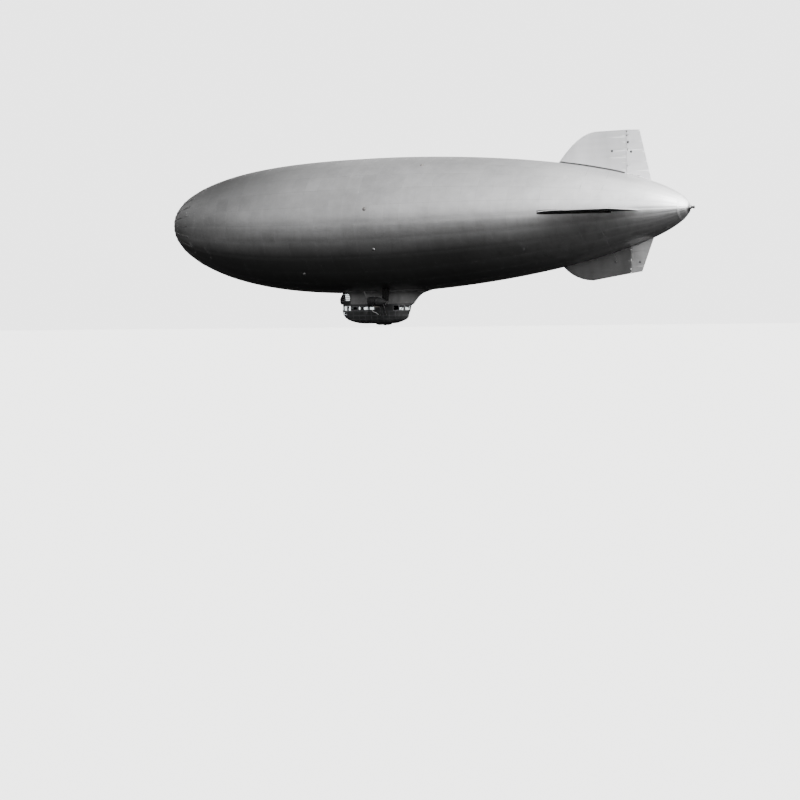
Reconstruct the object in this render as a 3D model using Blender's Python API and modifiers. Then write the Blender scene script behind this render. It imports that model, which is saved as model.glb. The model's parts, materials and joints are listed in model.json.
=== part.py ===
"""Patrol blimp, a 1:2 scale model, built as separate named sub-parts.

Metres, +X towards the tail, +Y to starboard, +Z up.  The origin is half way along the straight
line from the nose tip to the tail tip.  Every size below is a size of the model, so it is half
the size of the real airship.
"""
import math

import bmesh
import bpy
from mathutils import Matrix, Vector

GAP = 0.0003                 # between pieces that touch
SIDES = (("port", -1.0), ("starboard", 1.0))

# Envelope: a turned gas bag whose axis sags a little in the middle.
LENGTH = 38.365
DIAMETER = 8.815
WIDEST = 0.4213              # place of the largest diameter, as a share of the length
NOSE_POWER = 2.5692
TAIL_POWER = 1.7674
TAIL_ROUNDING = 0.5656
SAG = 0.4168                 # of the axis below the straight line from nose to tail
SAG_SKEW = 0.621             # how far the sag leans towards the nose
SKIN = 0.010
SEGMENTS = 48
STATIONS = 26

# Nose: a metal cone with battens that spread the mooring load over the bag.
BATTENS = 24
BATTEN_WIDTH = 0.055
BATTEN_END = -17.15
CONE_RADIUS = 0.62
CONE_WALL = 0.018
SPINDLE_REACH = 0.150

# Tail: a cap with a fitting for the tail line on a flat seat.
TAIL_CONE_START = 18.6
TAIL_SEAT_RADIUS = 0.13
TAIL_SEAT = 0.010            # of the seat beyond the cap
TAIL_FITTING = 0.24

# Fins: leading edge as a curve of three points, the hinge, the trailing edge, as (x, distance out).
FIN_ROOT_HALF = 0.060
FIN_TIP_HALF = 0.028
FIN_STATIONS = 8             # rings up a fixed fin, and up a rudder or elevator
MOVING_STATIONS = 6
FIN_NOSE = ((0.0, 0.0), (0.006, 0.45), (0.025, 0.80), (0.10, 1.0), (1.0, 1.0))
HINGE_GAP = 0.012
HINGE_STEPS = 6
TRAIL_HALF = 0.008
FINS = {
    "upper": {"turn": 0.0, "edge": ((10.26, 3.07), (11.75, 4.98), (13.0, 4.88)), "hinge": 15.01,
              "tip": 4.90, "trail_root": (16.62, 1.70), "trail_tip": (15.83, 4.86)},
    "lower": {"turn": 180.0, "edge": ((10.49, 3.37), (11.45, 4.40), (12.9, 4.32)), "hinge": 15.265,
              "tip": 3.92, "trail_root": (16.78, 1.70), "trail_tip": (15.96, 3.82)},
    "port": {"turn": 90.0, "edge": ((10.30, 3.20), (11.80, 4.86), (13.0, 4.7625)), "hinge": 15.13,
             "tip": 4.7625, "trail_root": (16.62, 1.70), "trail_tip": (15.85, 4.76)},
    "starboard": {"turn": -90.0, "edge": ((10.30, 3.20), (11.80, 4.86), (13.0, 4.7625)), "hinge": 15.13,
                  "tip": 4.7625, "trail_root": (16.62, 1.70), "trail_tip": (15.85, 4.76)},
}
FIN_ROOT_IN_BAG = 1.9
EDGE_START = -0.12           # the leading edge's curve runs on into the bag
EDGE_END = 0.90
SIDE_FIN_Z = -0.14
LUGS = (0.12, 0.5, 0.86)     # hinge lugs, as shares of the hinge line
LUG_LENGTH = 0.10
MOVING_CLEAR = 0.03          # of a rudder or elevator over the bag

# Car: level sections from the keel up, as z, front, rear, half width, length of nose, length of tail.
CAR_WALL = 0.020
SILL = -6.02
ROOF = -5.60
TUB = (
    (-6.85, -4.10, -2.00, 0.400, 0.35, 0.35),
    (-6.81, -4.55, -1.62, 0.460, 0.45, 0.40),
    (-6.73, -4.92, -1.36, 0.530, 0.50, 0.50),
    (-6.60, -5.28, -1.02, 0.600, 0.55, 0.65),
    (-6.45, -5.50, -0.84, 0.645, 0.60, 0.75),
    (-6.25, -5.65, -0.80, 0.672, 0.60, 0.80),
    (SILL, -5.71, -0.70, 0.686, 0.60, 0.80),
)
CABIN = (
    (SILL, -5.71, -0.70, 0.686, 0.60, 0.80),
    (ROOF, -5.68, -0.60, 0.686, 0.60, 0.80),
)
FAIRING_WALL = 0.015
FAIRING = (
    (-5.58, -5.10, -0.39, 0.620, 0.35, 1.20),
    (-5.36, -5.10, -0.22, 0.625, 0.35, 1.25),
    (-5.15, -5.10, -0.02, 0.640, 0.35, 1.35),
    (-5.02, -5.11, 0.14, 0.675, 0.35, 1.45),
    (-4.93, -5.12, 0.27, 0.730, 0.35, 1.55),
    (-4.86, -5.13, 0.43, 0.810, 0.35, 1.65),
    (-4.80, -5.14, 0.60, 0.920, 0.35, 1.75),
    (-4.66, -5.16, 1.10, 1.040, 0.35, 2.10),
    (-4.30, -5.20, 2.20, 1.150, 0.35, 2.90),
)
TURRET_WALL = 0.018
TURRET = (
    (-5.58, -5.90, -4.90, 0.300, 0.30, 0.20),
    (-5.45, -5.97, -4.90, 0.330, 0.33, 0.20),
    (-5.20, -5.99, -4.90, 0.335, 0.33, 0.20),
    (-4.98, -5.86, -4.90, 0.325, 0.33, 0.20),
    (-4.70, -5.70, -4.90, 0.300, 0.30, 0.20),
)
RING_POINTS = 11             # on each rounded end of a level section
DECK_Z = -6.40
DECK_THICK = 0.020
ROOF_THICK = 0.0197

# Windows as (low, high) pairs: heights, then places along X for the sides and along Y for the ends.
PANE_Z = (-6.00, -5.67)
CREW_PANE_Z = (-5.955, -5.735)
CHIN_PANE_Z = (-6.27, -6.06)
TURRET_PANE_Z = (-5.34, -4.88)
PILOT_PANES = ((-5.35, -5.06), (-5.025, -4.775))
CREW_PANES = tuple((-4.70 + 0.4635 * k, -4.2765 + 0.4635 * k) for k in range(4))
REAR_PANES = {"port": (-1.50, -1.14), "starboard": (-1.43, -1.14)}
CHIN_PANES = ((-5.47, -5.12),)
TURRET_PANES = ((-5.80, -5.475), (-5.436, -5.058))
WINDSCREEN_PANES = ((0.02, 0.32), (0.36, 0.60))
CHIN_FRONT_PANES = ((0.02, 0.26),)
STERN_PANES = ((0.02, 0.403), (0.45, 0.611))
CABIN_JOINT = -4.7375        # where the cabin's front panel meets its sides
WINDSCREEN_REAR = -5.29      # the windscreen's panes are cut ahead of this
STERN_FRONT = -1.16          # and the stern's behind this
GLASS = 0.006
GLASS_LAP = 0.015            # of the glass behind the frames

# Inside the cabin: a bulkhead behind the two pilots, with a doorway to one side.
BULKHEAD = (-4.74, -4.72)
DOORWAY = ((0.06, 0.42), -5.72)
SEAT_Y = 0.33
SEAT_FRONT = -5.09
SEAT_REAR = -4.84
SEAT_Z = -6.17
SEAT_TOP = -5.84

# Door in the starboard wall, hinged at its rear edge to swing clear of the outrigger.
DOOR_FRONT = -1.92
DOOR_REAR = -1.50
DOOR_LOW = -6.40
DOOR_HIGH = -5.64
DOOR_CLEAR = 0.006
DOOR_PANE = (-1.885, -1.56)
DOOR_HINGE = (-1.475, 0.713)
DOOR_MIDDLE = -6.0
KNUCKLES = (-5.82, -6.10)
KNUCKLE_HALF = 0.03
BRACKETS = (-6.185, -5.715)

# Engines on their outriggers.
ENGINE_Y = 1.80
ENGINE_Z = -5.45
COWL_FRONT = -2.62
COWL_REAR = -2.16
COWL_RADIUS = 0.34
COWL_WALL = 0.014
NACELLE_TAIL = -1.36
CYLINDERS = 9
BARREL_RADIUS = 0.050
COWL_SIDES = 24
PROP_X = -2.70
PROP_RADIUS = 0.85
BLADES = 3
BLADE_STATIONS = 8
BLADE_SECTION = ((-1.0, 0.0), (-0.5, 0.8), (0.2, 1.0), (1.0, 0.0), (0.2, -0.6), (-0.5, -0.5))
BLADE_LEAN = 0.55            # how much of a blade's twist shows along X
FIRST_BLADE = math.radians(40.0)
STRUT_RADIUS = 0.026
JOINT_X = (-2.06, -1.80)     # where the struts meet beside the nacelle
JOINT_Y = 1.50
OUTRIGGER_FEET = (((-2.46, -5.70), (-2.58, -6.36)), ((-2.04, -5.70), (-2.10, -6.36)))

# Air scoops behind the propellers.
SCOOP_Y = 1.30
SCOOP_FRONT = -1.93
SCOOP_REAR = -1.53
SCOOP_HALF = 0.12
SCOOP_LOW = -5.39
SCOOP_MOUTH = -4.93
SCOOP_WALL = 0.020
SCOOP_EDGE = 0.045

# Landing wheel, free to swivel in a well under the car.
SWIVEL_X = -2.66
TRAIL = 0.10
WHEEL_RADIUS = 0.21
WHEEL_SIDES = 28
WHEEL_Z = -6.77
TYRE_HALF = 0.060
WELL_RADIUS = 0.34
WELL_TOP = -6.60
WELL_SIDES = 32
BULGE = (0.58, 0.43, 0.13)   # half sizes of the fairing round the wheel
CROWN_Z = -6.50
CROWN_RADIUS = 0.075
CROWN_THICK = 0.030
LEG_RADIUS = 0.060
FORK_CLEAR = 0.018           # between the tyre and each fork leg
FORK_LEG = 0.018
FORK_HALF = 0.035
AXLE_RADIUS = 0.015

ABOUT_X = -math.pi / 2.0     # lays a turned piece's axis along X, its top towards the nose


def clear_scene():
    for thing in list(bpy.data.objects):
        bpy.data.objects.remove(thing, do_unlink=True)


def new_collection(name):
    group = bpy.data.collections.new(name)
    bpy.context.scene.collection.children.link(group)
    return group


def finish(name, colour, roughness, metallic=0.0, alpha=1.0):
    mat = bpy.data.materials.new(name)
    mat.use_nodes = True
    shader = mat.node_tree.nodes["Principled BSDF"]
    shader.inputs["Base Color"].default_value = (*colour, 1.0)
    shader.inputs["Roughness"].default_value = roughness
    shader.inputs["Metallic"].default_value = metallic
    shader.inputs["Alpha"].default_value = alpha
    mat.diffuse_color = (*colour, alpha)
    return mat


def add(name, mesh, mat=None):
    """Link a mesh as a new object; without a material it is a cutter."""
    thing = bpy.data.objects.new(name, mesh)
    if mat:
        PARTS.objects.link(thing)
        mesh.materials.clear()
        mesh.materials.append(mat)
    else:
        CUTTERS.objects.link(thing)
        thing.hide_render = True
        thing.display_type = "WIRE"
    return thing


def baked(thing):
    """Put the object's evaluated shape in its mesh, in world coordinates."""
    bpy.context.view_layer.update()
    graph = bpy.context.evaluated_depsgraph_get()
    mesh = bpy.data.meshes.new_from_object(thing.evaluated_get(graph), depsgraph=graph)
    mesh.transform(thing.matrix_world)
    mats = [slot for slot in thing.data.materials if slot]
    name = thing.name
    group = thing.users_collection[0]
    bpy.data.objects.remove(thing, do_unlink=True)
    fresh = bpy.data.objects.new(name, mesh)
    group.objects.link(fresh)
    if group == CUTTERS:
        fresh.hide_render = True
        fresh.display_type = "WIRE"
    mesh.materials.clear()
    for mat in mats:
        mesh.materials.append(mat)
    return fresh


def combine(thing, others, operation):
    """Apply one Boolean after another, and throw the tools away."""
    for other in others:
        mod = thing.modifiers.new("join", "BOOLEAN")
        mod.operation = operation
        mod.object = other
        thing = baked(thing)
        bpy.data.objects.remove(other, do_unlink=True)
    return thing


def cut(thing, *others):
    return combine(thing, others, "DIFFERENCE")


def unite(thing, *others):
    return combine(thing, others, "UNION")


def smooth(thing, angle=35.0):
    thing.data.shade_smooth()
    thing.data.set_sharp_from_angle(angle=math.radians(angle))
    return thing


def set_origin(thing, point):
    """Move the object's origin to a joint's axis and leave its shape in place."""
    thing.data.transform(Matrix.Translation(-Vector(point)))
    thing.location = point
    return thing


def box(name, low, high, mat=None):
    frame = bmesh.new()
    bmesh.ops.create_cube(frame, size=1.0)
    size = [b - a for a, b in zip(low, high)]
    middle = [(a + b) / 2.0 for a, b in zip(low, high)]
    bmesh.ops.scale(frame, vec=size, verts=frame.verts)
    bmesh.ops.translate(frame, vec=middle, verts=frame.verts)
    mesh = bpy.data.meshes.new(name)
    frame.to_mesh(mesh)
    frame.free()
    return add(name, mesh, mat)


def rod(name, start, end, radius, mat=None, sides=12, end_radius=None):
    """A round bar between two points."""
    start, end = Vector(start), Vector(end)
    frame = bmesh.new()
    bmesh.ops.create_cone(frame, cap_ends=True, segments=sides, radius1=radius,
                          radius2=radius if end_radius is None else end_radius, depth=(end - start).length)
    turn = (end - start).to_track_quat("Z", "Y").to_matrix().to_4x4()
    frame.transform(Matrix.Translation((start + end) / 2.0) @ turn)
    mesh = bpy.data.meshes.new(name)
    frame.to_mesh(mesh)
    frame.free()
    return add(name, mesh, mat)


def turned(name, profile, sides, mat=None, centre=(0.0, 0.0, 0.0), tilt=(0.0, 0.0, 0.0), loop=False):
    """Spin (radius, height) points about the local Z axis; the outer side runs from top to bottom."""
    frame = bmesh.new()
    points = [frame.verts.new((radius, 0.0, height)) for radius, height in profile]
    for first, second in zip(points, points[1:]):
        frame.edges.new((first, second))
    if loop:
        frame.edges.new((points[-1], points[0]))
    mesh = bpy.data.meshes.new(name)
    frame.to_mesh(mesh)
    frame.free()
    thing = add(name, mesh, mat)
    thing.location = centre
    thing.rotation_euler = tilt
    spin = thing.modifiers.new("turn", "SCREW")
    spin.steps = sides
    spin.render_steps = sides
    spin.use_merge_vertices = True
    spin.merge_threshold = 0.0001
    return smooth(baked(thing))


def loft(name, rings, mat=None, loop=False):
    """Skin a row of like rings; the ends are capped unless the row closes on itself."""
    frame = bmesh.new()
    rows = [[frame.verts.new(point) for point in ring] for ring in rings]
    count = len(rows[0])
    last = len(rows) if loop else len(rows) - 1
    for k in range(last):
        near, far = rows[k], rows[(k + 1) % len(rows)]
        for i in range(count):
            j = (i + 1) % count
            frame.faces.new((near[i], near[j], far[j], far[i]))
    if not loop:
        frame.faces.new(rows[0])
        frame.faces.new(rows[-1])
    # The skin's four-sided faces are twisted a little, and flat triangles cut cleanly.
    bmesh.ops.triangulate(frame, faces=frame.faces)
    bmesh.ops.recalc_face_normals(frame, faces=frame.faces)
    mesh = bpy.data.meshes.new(name)
    frame.to_mesh(mesh)
    frame.free()
    return smooth(add(name, mesh, mat))


def bag_radius(x):
    along = min(max(x / LENGTH + 0.5, 0.0), 1.0)
    if along < WIDEST:
        return DIAMETER / 2.0 * math.sqrt(max(0.0, 1.0 - ((WIDEST - along) / WIDEST) ** NOSE_POWER))
    back = (along - WIDEST) / (1.0 - WIDEST)
    return DIAMETER / 2.0 * max(0.0, 1.0 - back ** TAIL_POWER) ** TAIL_ROUNDING


def bag_axis(x):
    """Height of the bag's axis, which sags below the line from nose to tail."""
    along = min(max(x / LENGTH + 0.5, 0.0), 1.0)
    return -SAG * 4.0 * along * (1.0 - along) * (1.0 + SAG_SKEW * (1.0 - 2.0 * along))


def bag_stations(start=-LENGTH / 2.0, end=LENGTH / 2.0):
    """Stations along the bag, closer together at its ends, within a stretch of it."""
    every = [-LENGTH / 2.0 * math.cos(math.pi * k / STATIONS) for k in range(STATIONS + 1)]
    return [x for x in every if start - 0.001 <= x <= end + 0.001]


def follow_axis(thing):
    """Bend a piece turned about X along the bag's sagging axis."""
    for point in thing.data.vertices:
        point.co.z += bag_axis(point.co.x)
    return thing


def bag_shell(name, start, end, inner, outer, mat=None):
    """A shell over the bag between two stations; it closes on the axis where the bag does."""
    stations = bag_stations(start, end)
    tips = [x for x in stations if bag_radius(x) < 0.01]
    outside = [(bag_radius(x) + outer, -x) for x in stations if x not in tips]
    inside = [(bag_radius(x) + inner, -x) for x in stations if x not in tips]
    profile = outside + inside[::-1]
    if tips and tips[0] < 0.0:
        profile = [(0.0, -tips[0] + outer)] + profile + [(0.0, -tips[0] + inner)]
    elif tips:
        profile = [(0.0, -tips[0] - inner)] + inside[::-1] + outside + [(0.0, -tips[0] - outer)]
    return follow_axis(turned(name, profile, SEGMENTS, mat, tilt=(0.0, ABOUT_X, 0.0), loop=not tips))


def bag_solid(start, end, grow):
    """A cutter with the bag's own faces, a little larger, between two stations."""
    stations = [x for x in bag_stations(start, end) if bag_radius(x) > 0.01]
    profile = [(0.0, -stations[0])]
    profile += [(bag_radius(x) + grow, -x) for x in stations]
    profile += [(0.0, -stations[-1])]
    return follow_axis(turned("bag_cutter", profile, SEGMENTS, tilt=(0.0, ABOUT_X, 0.0)))


def build_envelope():
    stations = bag_stations()
    bag_shell("envelope", stations[1], stations[-2], -SKIN, 0.0, SILVER)


def build_nose():
    """A metal cap whose rim is cut away between the battens."""
    cone = bag_shell("nose_cone", -LENGTH / 2.0, BATTEN_END, GAP, CONE_WALL, SILVER)
    tip = -LENGTH / 2.0
    reach = DIAMETER / 2.0
    spacing = math.pi / BATTENS
    frame = bmesh.new()
    for k in range(BATTENS):
        wedge = bmesh.ops.create_cube(frame, size=2.0)["verts"]
        for point in wedge:
            radius = CONE_RADIUS if point.co.z < 0.0 else reach
            half = radius * math.tan(spacing) - BATTEN_WIDTH / 2.0 / math.cos(spacing)
            x = tip - 0.3 if point.co.x < 0.0 else BATTEN_END + 1.0
            point.co = Vector((x, math.copysign(half, point.co.y), radius))
        turn = Matrix.Rotation(2.0 * spacing * (k + 0.5), 3, "X")
        bmesh.ops.rotate(frame, cent=(0.0, 0.0, 0.0), matrix=turn, verts=wedge)
    mesh = bpy.data.meshes.new("batten_gaps")
    frame.to_mesh(mesh)
    frame.free()
    smooth(cut(cone, follow_axis(add("batten_gaps", mesh))))
    front = -tip + CONE_WALL
    end = front + SPINDLE_REACH
    spindle = [(0.0, end), (0.040, end), (0.050, end - 0.010), (0.050, end - 0.060), (0.085, end - 0.080),
               (0.085, end - 0.100), (0.045, end - 0.110), (0.060, front + GAP), (0.0, front + GAP)]
    turned("mooring_spindle", spindle, 16, STEEL, tilt=(0.0, ABOUT_X, 0.0))


def build_tail():
    cone = bag_shell("tail_cone", TAIL_CONE_START, LENGTH / 2.0, GAP, CONE_WALL, SILVER)
    tip = LENGTH / 2.0 + CONE_WALL
    seat = tip + TAIL_SEAT
    pad = rod("tail_seat", (tip - 0.04, 0.0, 0.0), (seat, 0.0, 0.0), TAIL_SEAT_RADIUS, sides=20)
    smooth(unite(cone, pad))
    end = seat + TAIL_FITTING
    fitting = [(0.0, seat + GAP), (0.120, seat + GAP), (0.120, seat + 0.020), (0.075, seat + 0.035),
               (0.065, end - 0.090), (0.095, end - 0.075), (0.095, end - 0.020), (0.080, end), (0.0, end)]
    turned("tail_fitting", [(r, -x) for r, x in fitting], 20, STEEL, tilt=(0.0, ABOUT_X, 0.0))


def half_thickness(fin, out):
    """Half the fin's thickness at a distance out from the bag's axis."""
    share = (out - FIN_ROOT_IN_BAG) / (fin["tip"] - FIN_ROOT_IN_BAG)
    return FIN_ROOT_HALF + (FIN_TIP_HALF - FIN_ROOT_HALF) * share


def fixed_fin(name, fin):
    root, bend, crown = [Vector(point) for point in fin["edge"]]
    rings = []
    for k in range(FIN_STATIONS):
        share = k / (FIN_STATIONS - 1)
        s = EDGE_START + (EDGE_END - EDGE_START) * share
        lead = root * (1.0 - s) ** 2 + bend * 2.0 * s * (1.0 - s) + crown * s * s
        out = FIN_ROOT_IN_BAG + (fin["tip"] - FIN_ROOT_IN_BAG) * share
        half = half_thickness(fin, out)
        chord = Vector((fin["hinge"] - half - HINGE_GAP, out)) - lead
        near = [(lead + chord * along, half * deep) for along, deep in FIN_NOSE]
        ring = [(point.x, deep, point.y) for point, deep in near]
        ring += [(point.x, -deep, point.y) for point, deep in near[:0:-1]]
        rings.append(ring)
    return loft(name, rings, SILVER)


def moving_fin(name, fin):
    foot = fin["trail_root"][1]
    rings = []
    for k in range(MOVING_STATIONS):
        share = k / (MOVING_STATIONS - 1)
        out = foot + (fin["tip"] - foot) * share
        half = half_thickness(fin, out)
        trail = fin["trail_root"][0] + (fin["trail_tip"][0] - fin["trail_root"][0]) * share
        end = foot + (fin["trail_tip"][1] - foot) * share
        ring = [(trail, TRAIL_HALF, end)]
        for step in range(HINGE_STEPS + 1):
            angle = math.pi / 2.0 + math.pi * step / HINGE_STEPS
            ring.append((fin["hinge"] + half * math.cos(angle), half * math.sin(angle), out))
        ring.append((trail, -TRAIL_HALF, end))
        rings.append(ring)
    return loft(name, rings, SILVER)


def build_fin(side, fin):
    """A fixed fin and the rudder or elevator on its hinge, built upright and turned into place."""
    upright = side in ("upper", "lower")
    hinge = fin["hinge"]
    fixed = fixed_fin("fin_" + side, fin)
    moving = moving_fin(("rudder_" if upright else "elevator_") + side, fin)
    low = bag_radius(hinge) + 0.10
    for place in LUGS:
        out = low + (fin["tip"] - low) * place
        half = half_thickness(fin, out)
        top, bottom = out + LUG_LENGTH / 2.0, out - LUG_LENGTH / 2.0
        notch = rod("notch", (hinge, 0.0, bottom), (hinge, 0.0, top), half + 0.006, sides=16)
        moving = cut(moving, notch)
        eye = rod("eye", (hinge, 0.0, bottom + GAP), (hinge, 0.0, top - GAP), half * 0.6, sides=12)
        web = box("web", (hinge - half - HINGE_GAP - 0.03, -half * 0.24, bottom + 0.01),
                  (hinge, half * 0.24, top - 0.01))
        fixed = unite(fixed, unite(eye, web))
    middle = 0.0 if upright else SIDE_FIN_Z
    place = Matrix.Translation((0.0, 0.0, middle)) @ Matrix.Rotation(math.radians(fin["turn"]), 4, "X")
    fixed.data.transform(place)
    moving.data.transform(place)
    smooth(cut(fixed, bag_solid(8.0, LENGTH / 2.0, GAP)))
    moving = smooth(cut(moving, bag_solid(8.0, LENGTH / 2.0, MOVING_CLEAR)))
    set_origin(moving, (hinge, 0.0, middle))


def level_ring(section, inset=0.0):
    """A level outline with straight sides and rounded ends, drawn in from its edge by the inset."""
    z, front, rear, half, nose, tail = section
    ring = []
    for k in range(RING_POINTS):
        angle = math.pi / 2.0 + math.pi * k / (RING_POINTS - 1)
        ring.append((front + nose + (nose - inset) * math.cos(angle), (half - inset) * math.sin(angle), z))
    for k in range(RING_POINTS):
        angle = -math.pi / 2.0 + math.pi * k / (RING_POINTS - 1)
        ring.append((rear - tail + (tail - inset) * math.cos(angle), (half - inset) * math.sin(angle), z))
    return ring


def between(rows, z):
    """The section of a stack of level outlines at one height."""
    for low, high in zip(rows, rows[1:]):
        if low[0] <= z <= high[0]:
            share = (z - low[0]) / (high[0] - low[0])
            return tuple(a + (b - a) * share for a, b in zip(low, high))
    return rows[0] if z < rows[0][0] else rows[-1]


def stretch(rows, low, high):
    """The part of a stack of level outlines between two heights."""
    return [between(rows, low)] + [row for row in rows if low < row[0] < high] + [between(rows, high)]


def at_height(section, z):
    return (z, *section[1:])


def wall(name, rows, thick, mat=None, inset=0.0):
    """An upright wall through a stack of level outlines, open above and below."""
    rings = [level_ring(row, inset) for row in rows]
    rings += [level_ring(row, inset + thick) for row in reversed(rows)]
    return loft(name, rings, mat, loop=True)


def stack_solid(rows, grow):
    """A cutter that fills a stack of level outlines, a little larger."""
    return loft("stack_cutter", [level_ring(row, -grow) for row in rows])


def side_boxes(panes, heights, half=1.0):
    """Cutters that open both side walls at once."""
    low, high = heights
    return [box("pane", (front, -half, low), (rear, half, high)) for front, rear in panes]


def end_boxes(panes, heights, front, rear):
    """Cutters for like panes to port and to starboard of the middle, through an end wall."""
    low, high = heights
    cutters = []
    for inner, outer in panes:
        cutters.append(box("pane", (front, inner, low), (rear, outer, high)))
        cutters.append(box("pane", (front, -outer, low), (rear, -inner, high)))
    return cutters


def door_box(grow=0.0):
    low = (DOOR_FRONT - grow, 0.4, DOOR_LOW - grow)
    return box("doorway", low, (DOOR_REAR + grow, 1.0, DOOR_HIGH + grow))


def wheel_well():
    below = TUB[0][0] - 0.35
    return rod("well", (SWIVEL_X, 0.0, below), (SWIVEL_X, 0.0, WELL_TOP), WELL_RADIUS, sides=WELL_SIDES)


def build_tub():
    outer = [level_ring(row) for row in TUB]
    floor = at_height(TUB[1], TUB[0][0] + CAR_WALL)
    inner = [level_ring(row, CAR_WALL) for row in reversed(TUB[1:])]
    inner.append(level_ring(floor, CAR_WALL + 0.06))
    tub = loft("car_tub", outer + inner, HULL_GREY)
    chin = side_boxes(CHIN_PANES, CHIN_PANE_Z)
    chin += end_boxes(CHIN_FRONT_PANES, CHIN_PANE_Z, TUB[-1][1] - 0.2, TUB[-1][1] + 0.3)
    smooth(cut(tub, wheel_well(), door_box(DOOR_CLEAR), *chin))
    low, high = CHIN_PANE_Z
    glass = wall("chin_glass", stretch(TUB, low - GLASS_LAP, high + GLASS_LAP), GLASS, CLEAR,
                 inset=CAR_WALL + GAP)
    ahead = box("nose_half", (-7.0, -1.0, -7.0), (CHIN_PANES[0][1] + GLASS_LAP, 1.0, -5.0))
    smooth(combine(glass, [ahead], "INTERSECT"))


def panel(name, shell, low, high):
    """The share of a shell that lies in a box, as a piece of its own."""
    share = add(name, shell.data.copy(), HULL_GREY)
    smooth(combine(share, [box("share", low, high)], "INTERSECT"))


def build_cabin():
    """The cabin's walls, in three panels, with its glass, roof and deck."""
    shell = wall("cabin_shell", (at_height(CABIN[0], SILL + GAP), CABIN[1]), CAR_WALL)
    low, high = PANE_Z
    panes = side_boxes(PILOT_PANES, PANE_Z) + side_boxes(CREW_PANES, CREW_PANE_Z)
    panes += end_boxes(WINDSCREEN_PANES, PANE_Z, CABIN[0][1] - 0.5, WINDSCREEN_REAR)
    panes += end_boxes(STERN_PANES, PANE_Z, STERN_FRONT, CABIN[1][2] + 0.5)
    for side_name, side in SIDES:
        front, rear = REAR_PANES[side_name]
        panes.append(box("pane", (front, min(side, 0.0), low), (rear, max(side, 0.0), high)))
    shell = cut(shell, door_box(DOOR_CLEAR), *panes)
    half_gap = GAP / 2.0
    panel("car_cabin_front", shell, (-7.0, -1.0, -7.0), (CABIN_JOINT - half_gap, 1.0, -5.0))
    panel("car_cabin_port", shell, (CABIN_JOINT + half_gap, -1.0, -7.0), (0.0, -half_gap, -5.0))
    panel("car_cabin_starboard", shell, (CABIN_JOINT + half_gap, half_gap, -7.0), (0.0, 1.0, -5.0))
    bpy.data.objects.remove(shell, do_unlink=True)
    glass_rows = stretch(CABIN, low - GLASS_LAP, high + GLASS_LAP)
    glass = wall("cabin_glass", glass_rows, GLASS, CLEAR, inset=CAR_WALL + GAP)
    smooth(cut(glass, door_box(0.03)))
    roof_edge = at_height(CABIN[1], ROOF + GAP)
    roof_top = at_height(CABIN[1], ROOF + ROOF_THICK)
    loft("car_roof", [level_ring(roof_edge), level_ring(roof_top)], HULL_GREY)
    deck = between(TUB, DECK_Z - DECK_THICK)
    inset = CAR_WALL + 3.0 * GAP
    loft("car_deck", [level_ring(deck, inset), level_ring(at_height(deck, DECK_Z), inset)], DARK)
    build_bulkhead()
    for side_name, side in SIDES:
        build_seat(side_name, side)


def build_bulkhead():
    """A flat wall across the cabin, clear of its sides and of the glass, with a doorway."""
    clear = CABIN[0][3] - CAR_WALL - GLASS
    edge = []
    for z in (DECK_Z + GAP, TUB[-2][0], SILL, ROOF - GAP):
        edge.append((min(between(TUB, z)[3] - CAR_WALL, clear) - 0.002, z))
    outline = edge + [(-half, z) for half, z in reversed(edge)]
    rings = [[(x, half, z) for half, z in outline] for x in BULKHEAD]
    (near, far), top = DOORWAY
    doorway = box("doorway", (BULKHEAD[0] - 0.1, near, DECK_Z - 0.1), (BULKHEAD[1] + 0.1, far, top))
    smooth(cut(loft("car_bulkhead", rings, HULL_GREY), doorway))


def build_seat(side_name, side):
    """A pilot's seat: a pan on a pedestal, and a back."""
    y = SEAT_Y * side
    seat = box("pilot_seat_" + side_name, (SEAT_FRONT, y - 0.12, SEAT_Z - 0.03),
               (SEAT_REAR, y + 0.12, SEAT_Z + 0.03), DARK)
    back = box("back", (SEAT_REAR - 0.05, y - 0.11, SEAT_Z), (SEAT_REAR + 0.01, y + 0.11, SEAT_TOP))
    pedestal = box("pedestal", (SEAT_FRONT + 0.07, y - 0.05, DECK_Z + GAP),
                   (SEAT_REAR - 0.07, y + 0.05, SEAT_Z))
    seat = unite(seat, back, pedestal)
    bevel = seat.modifiers.new("edges", "BEVEL")
    bevel.width = 0.012
    bevel.segments = 2
    smooth(baked(seat))


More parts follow.
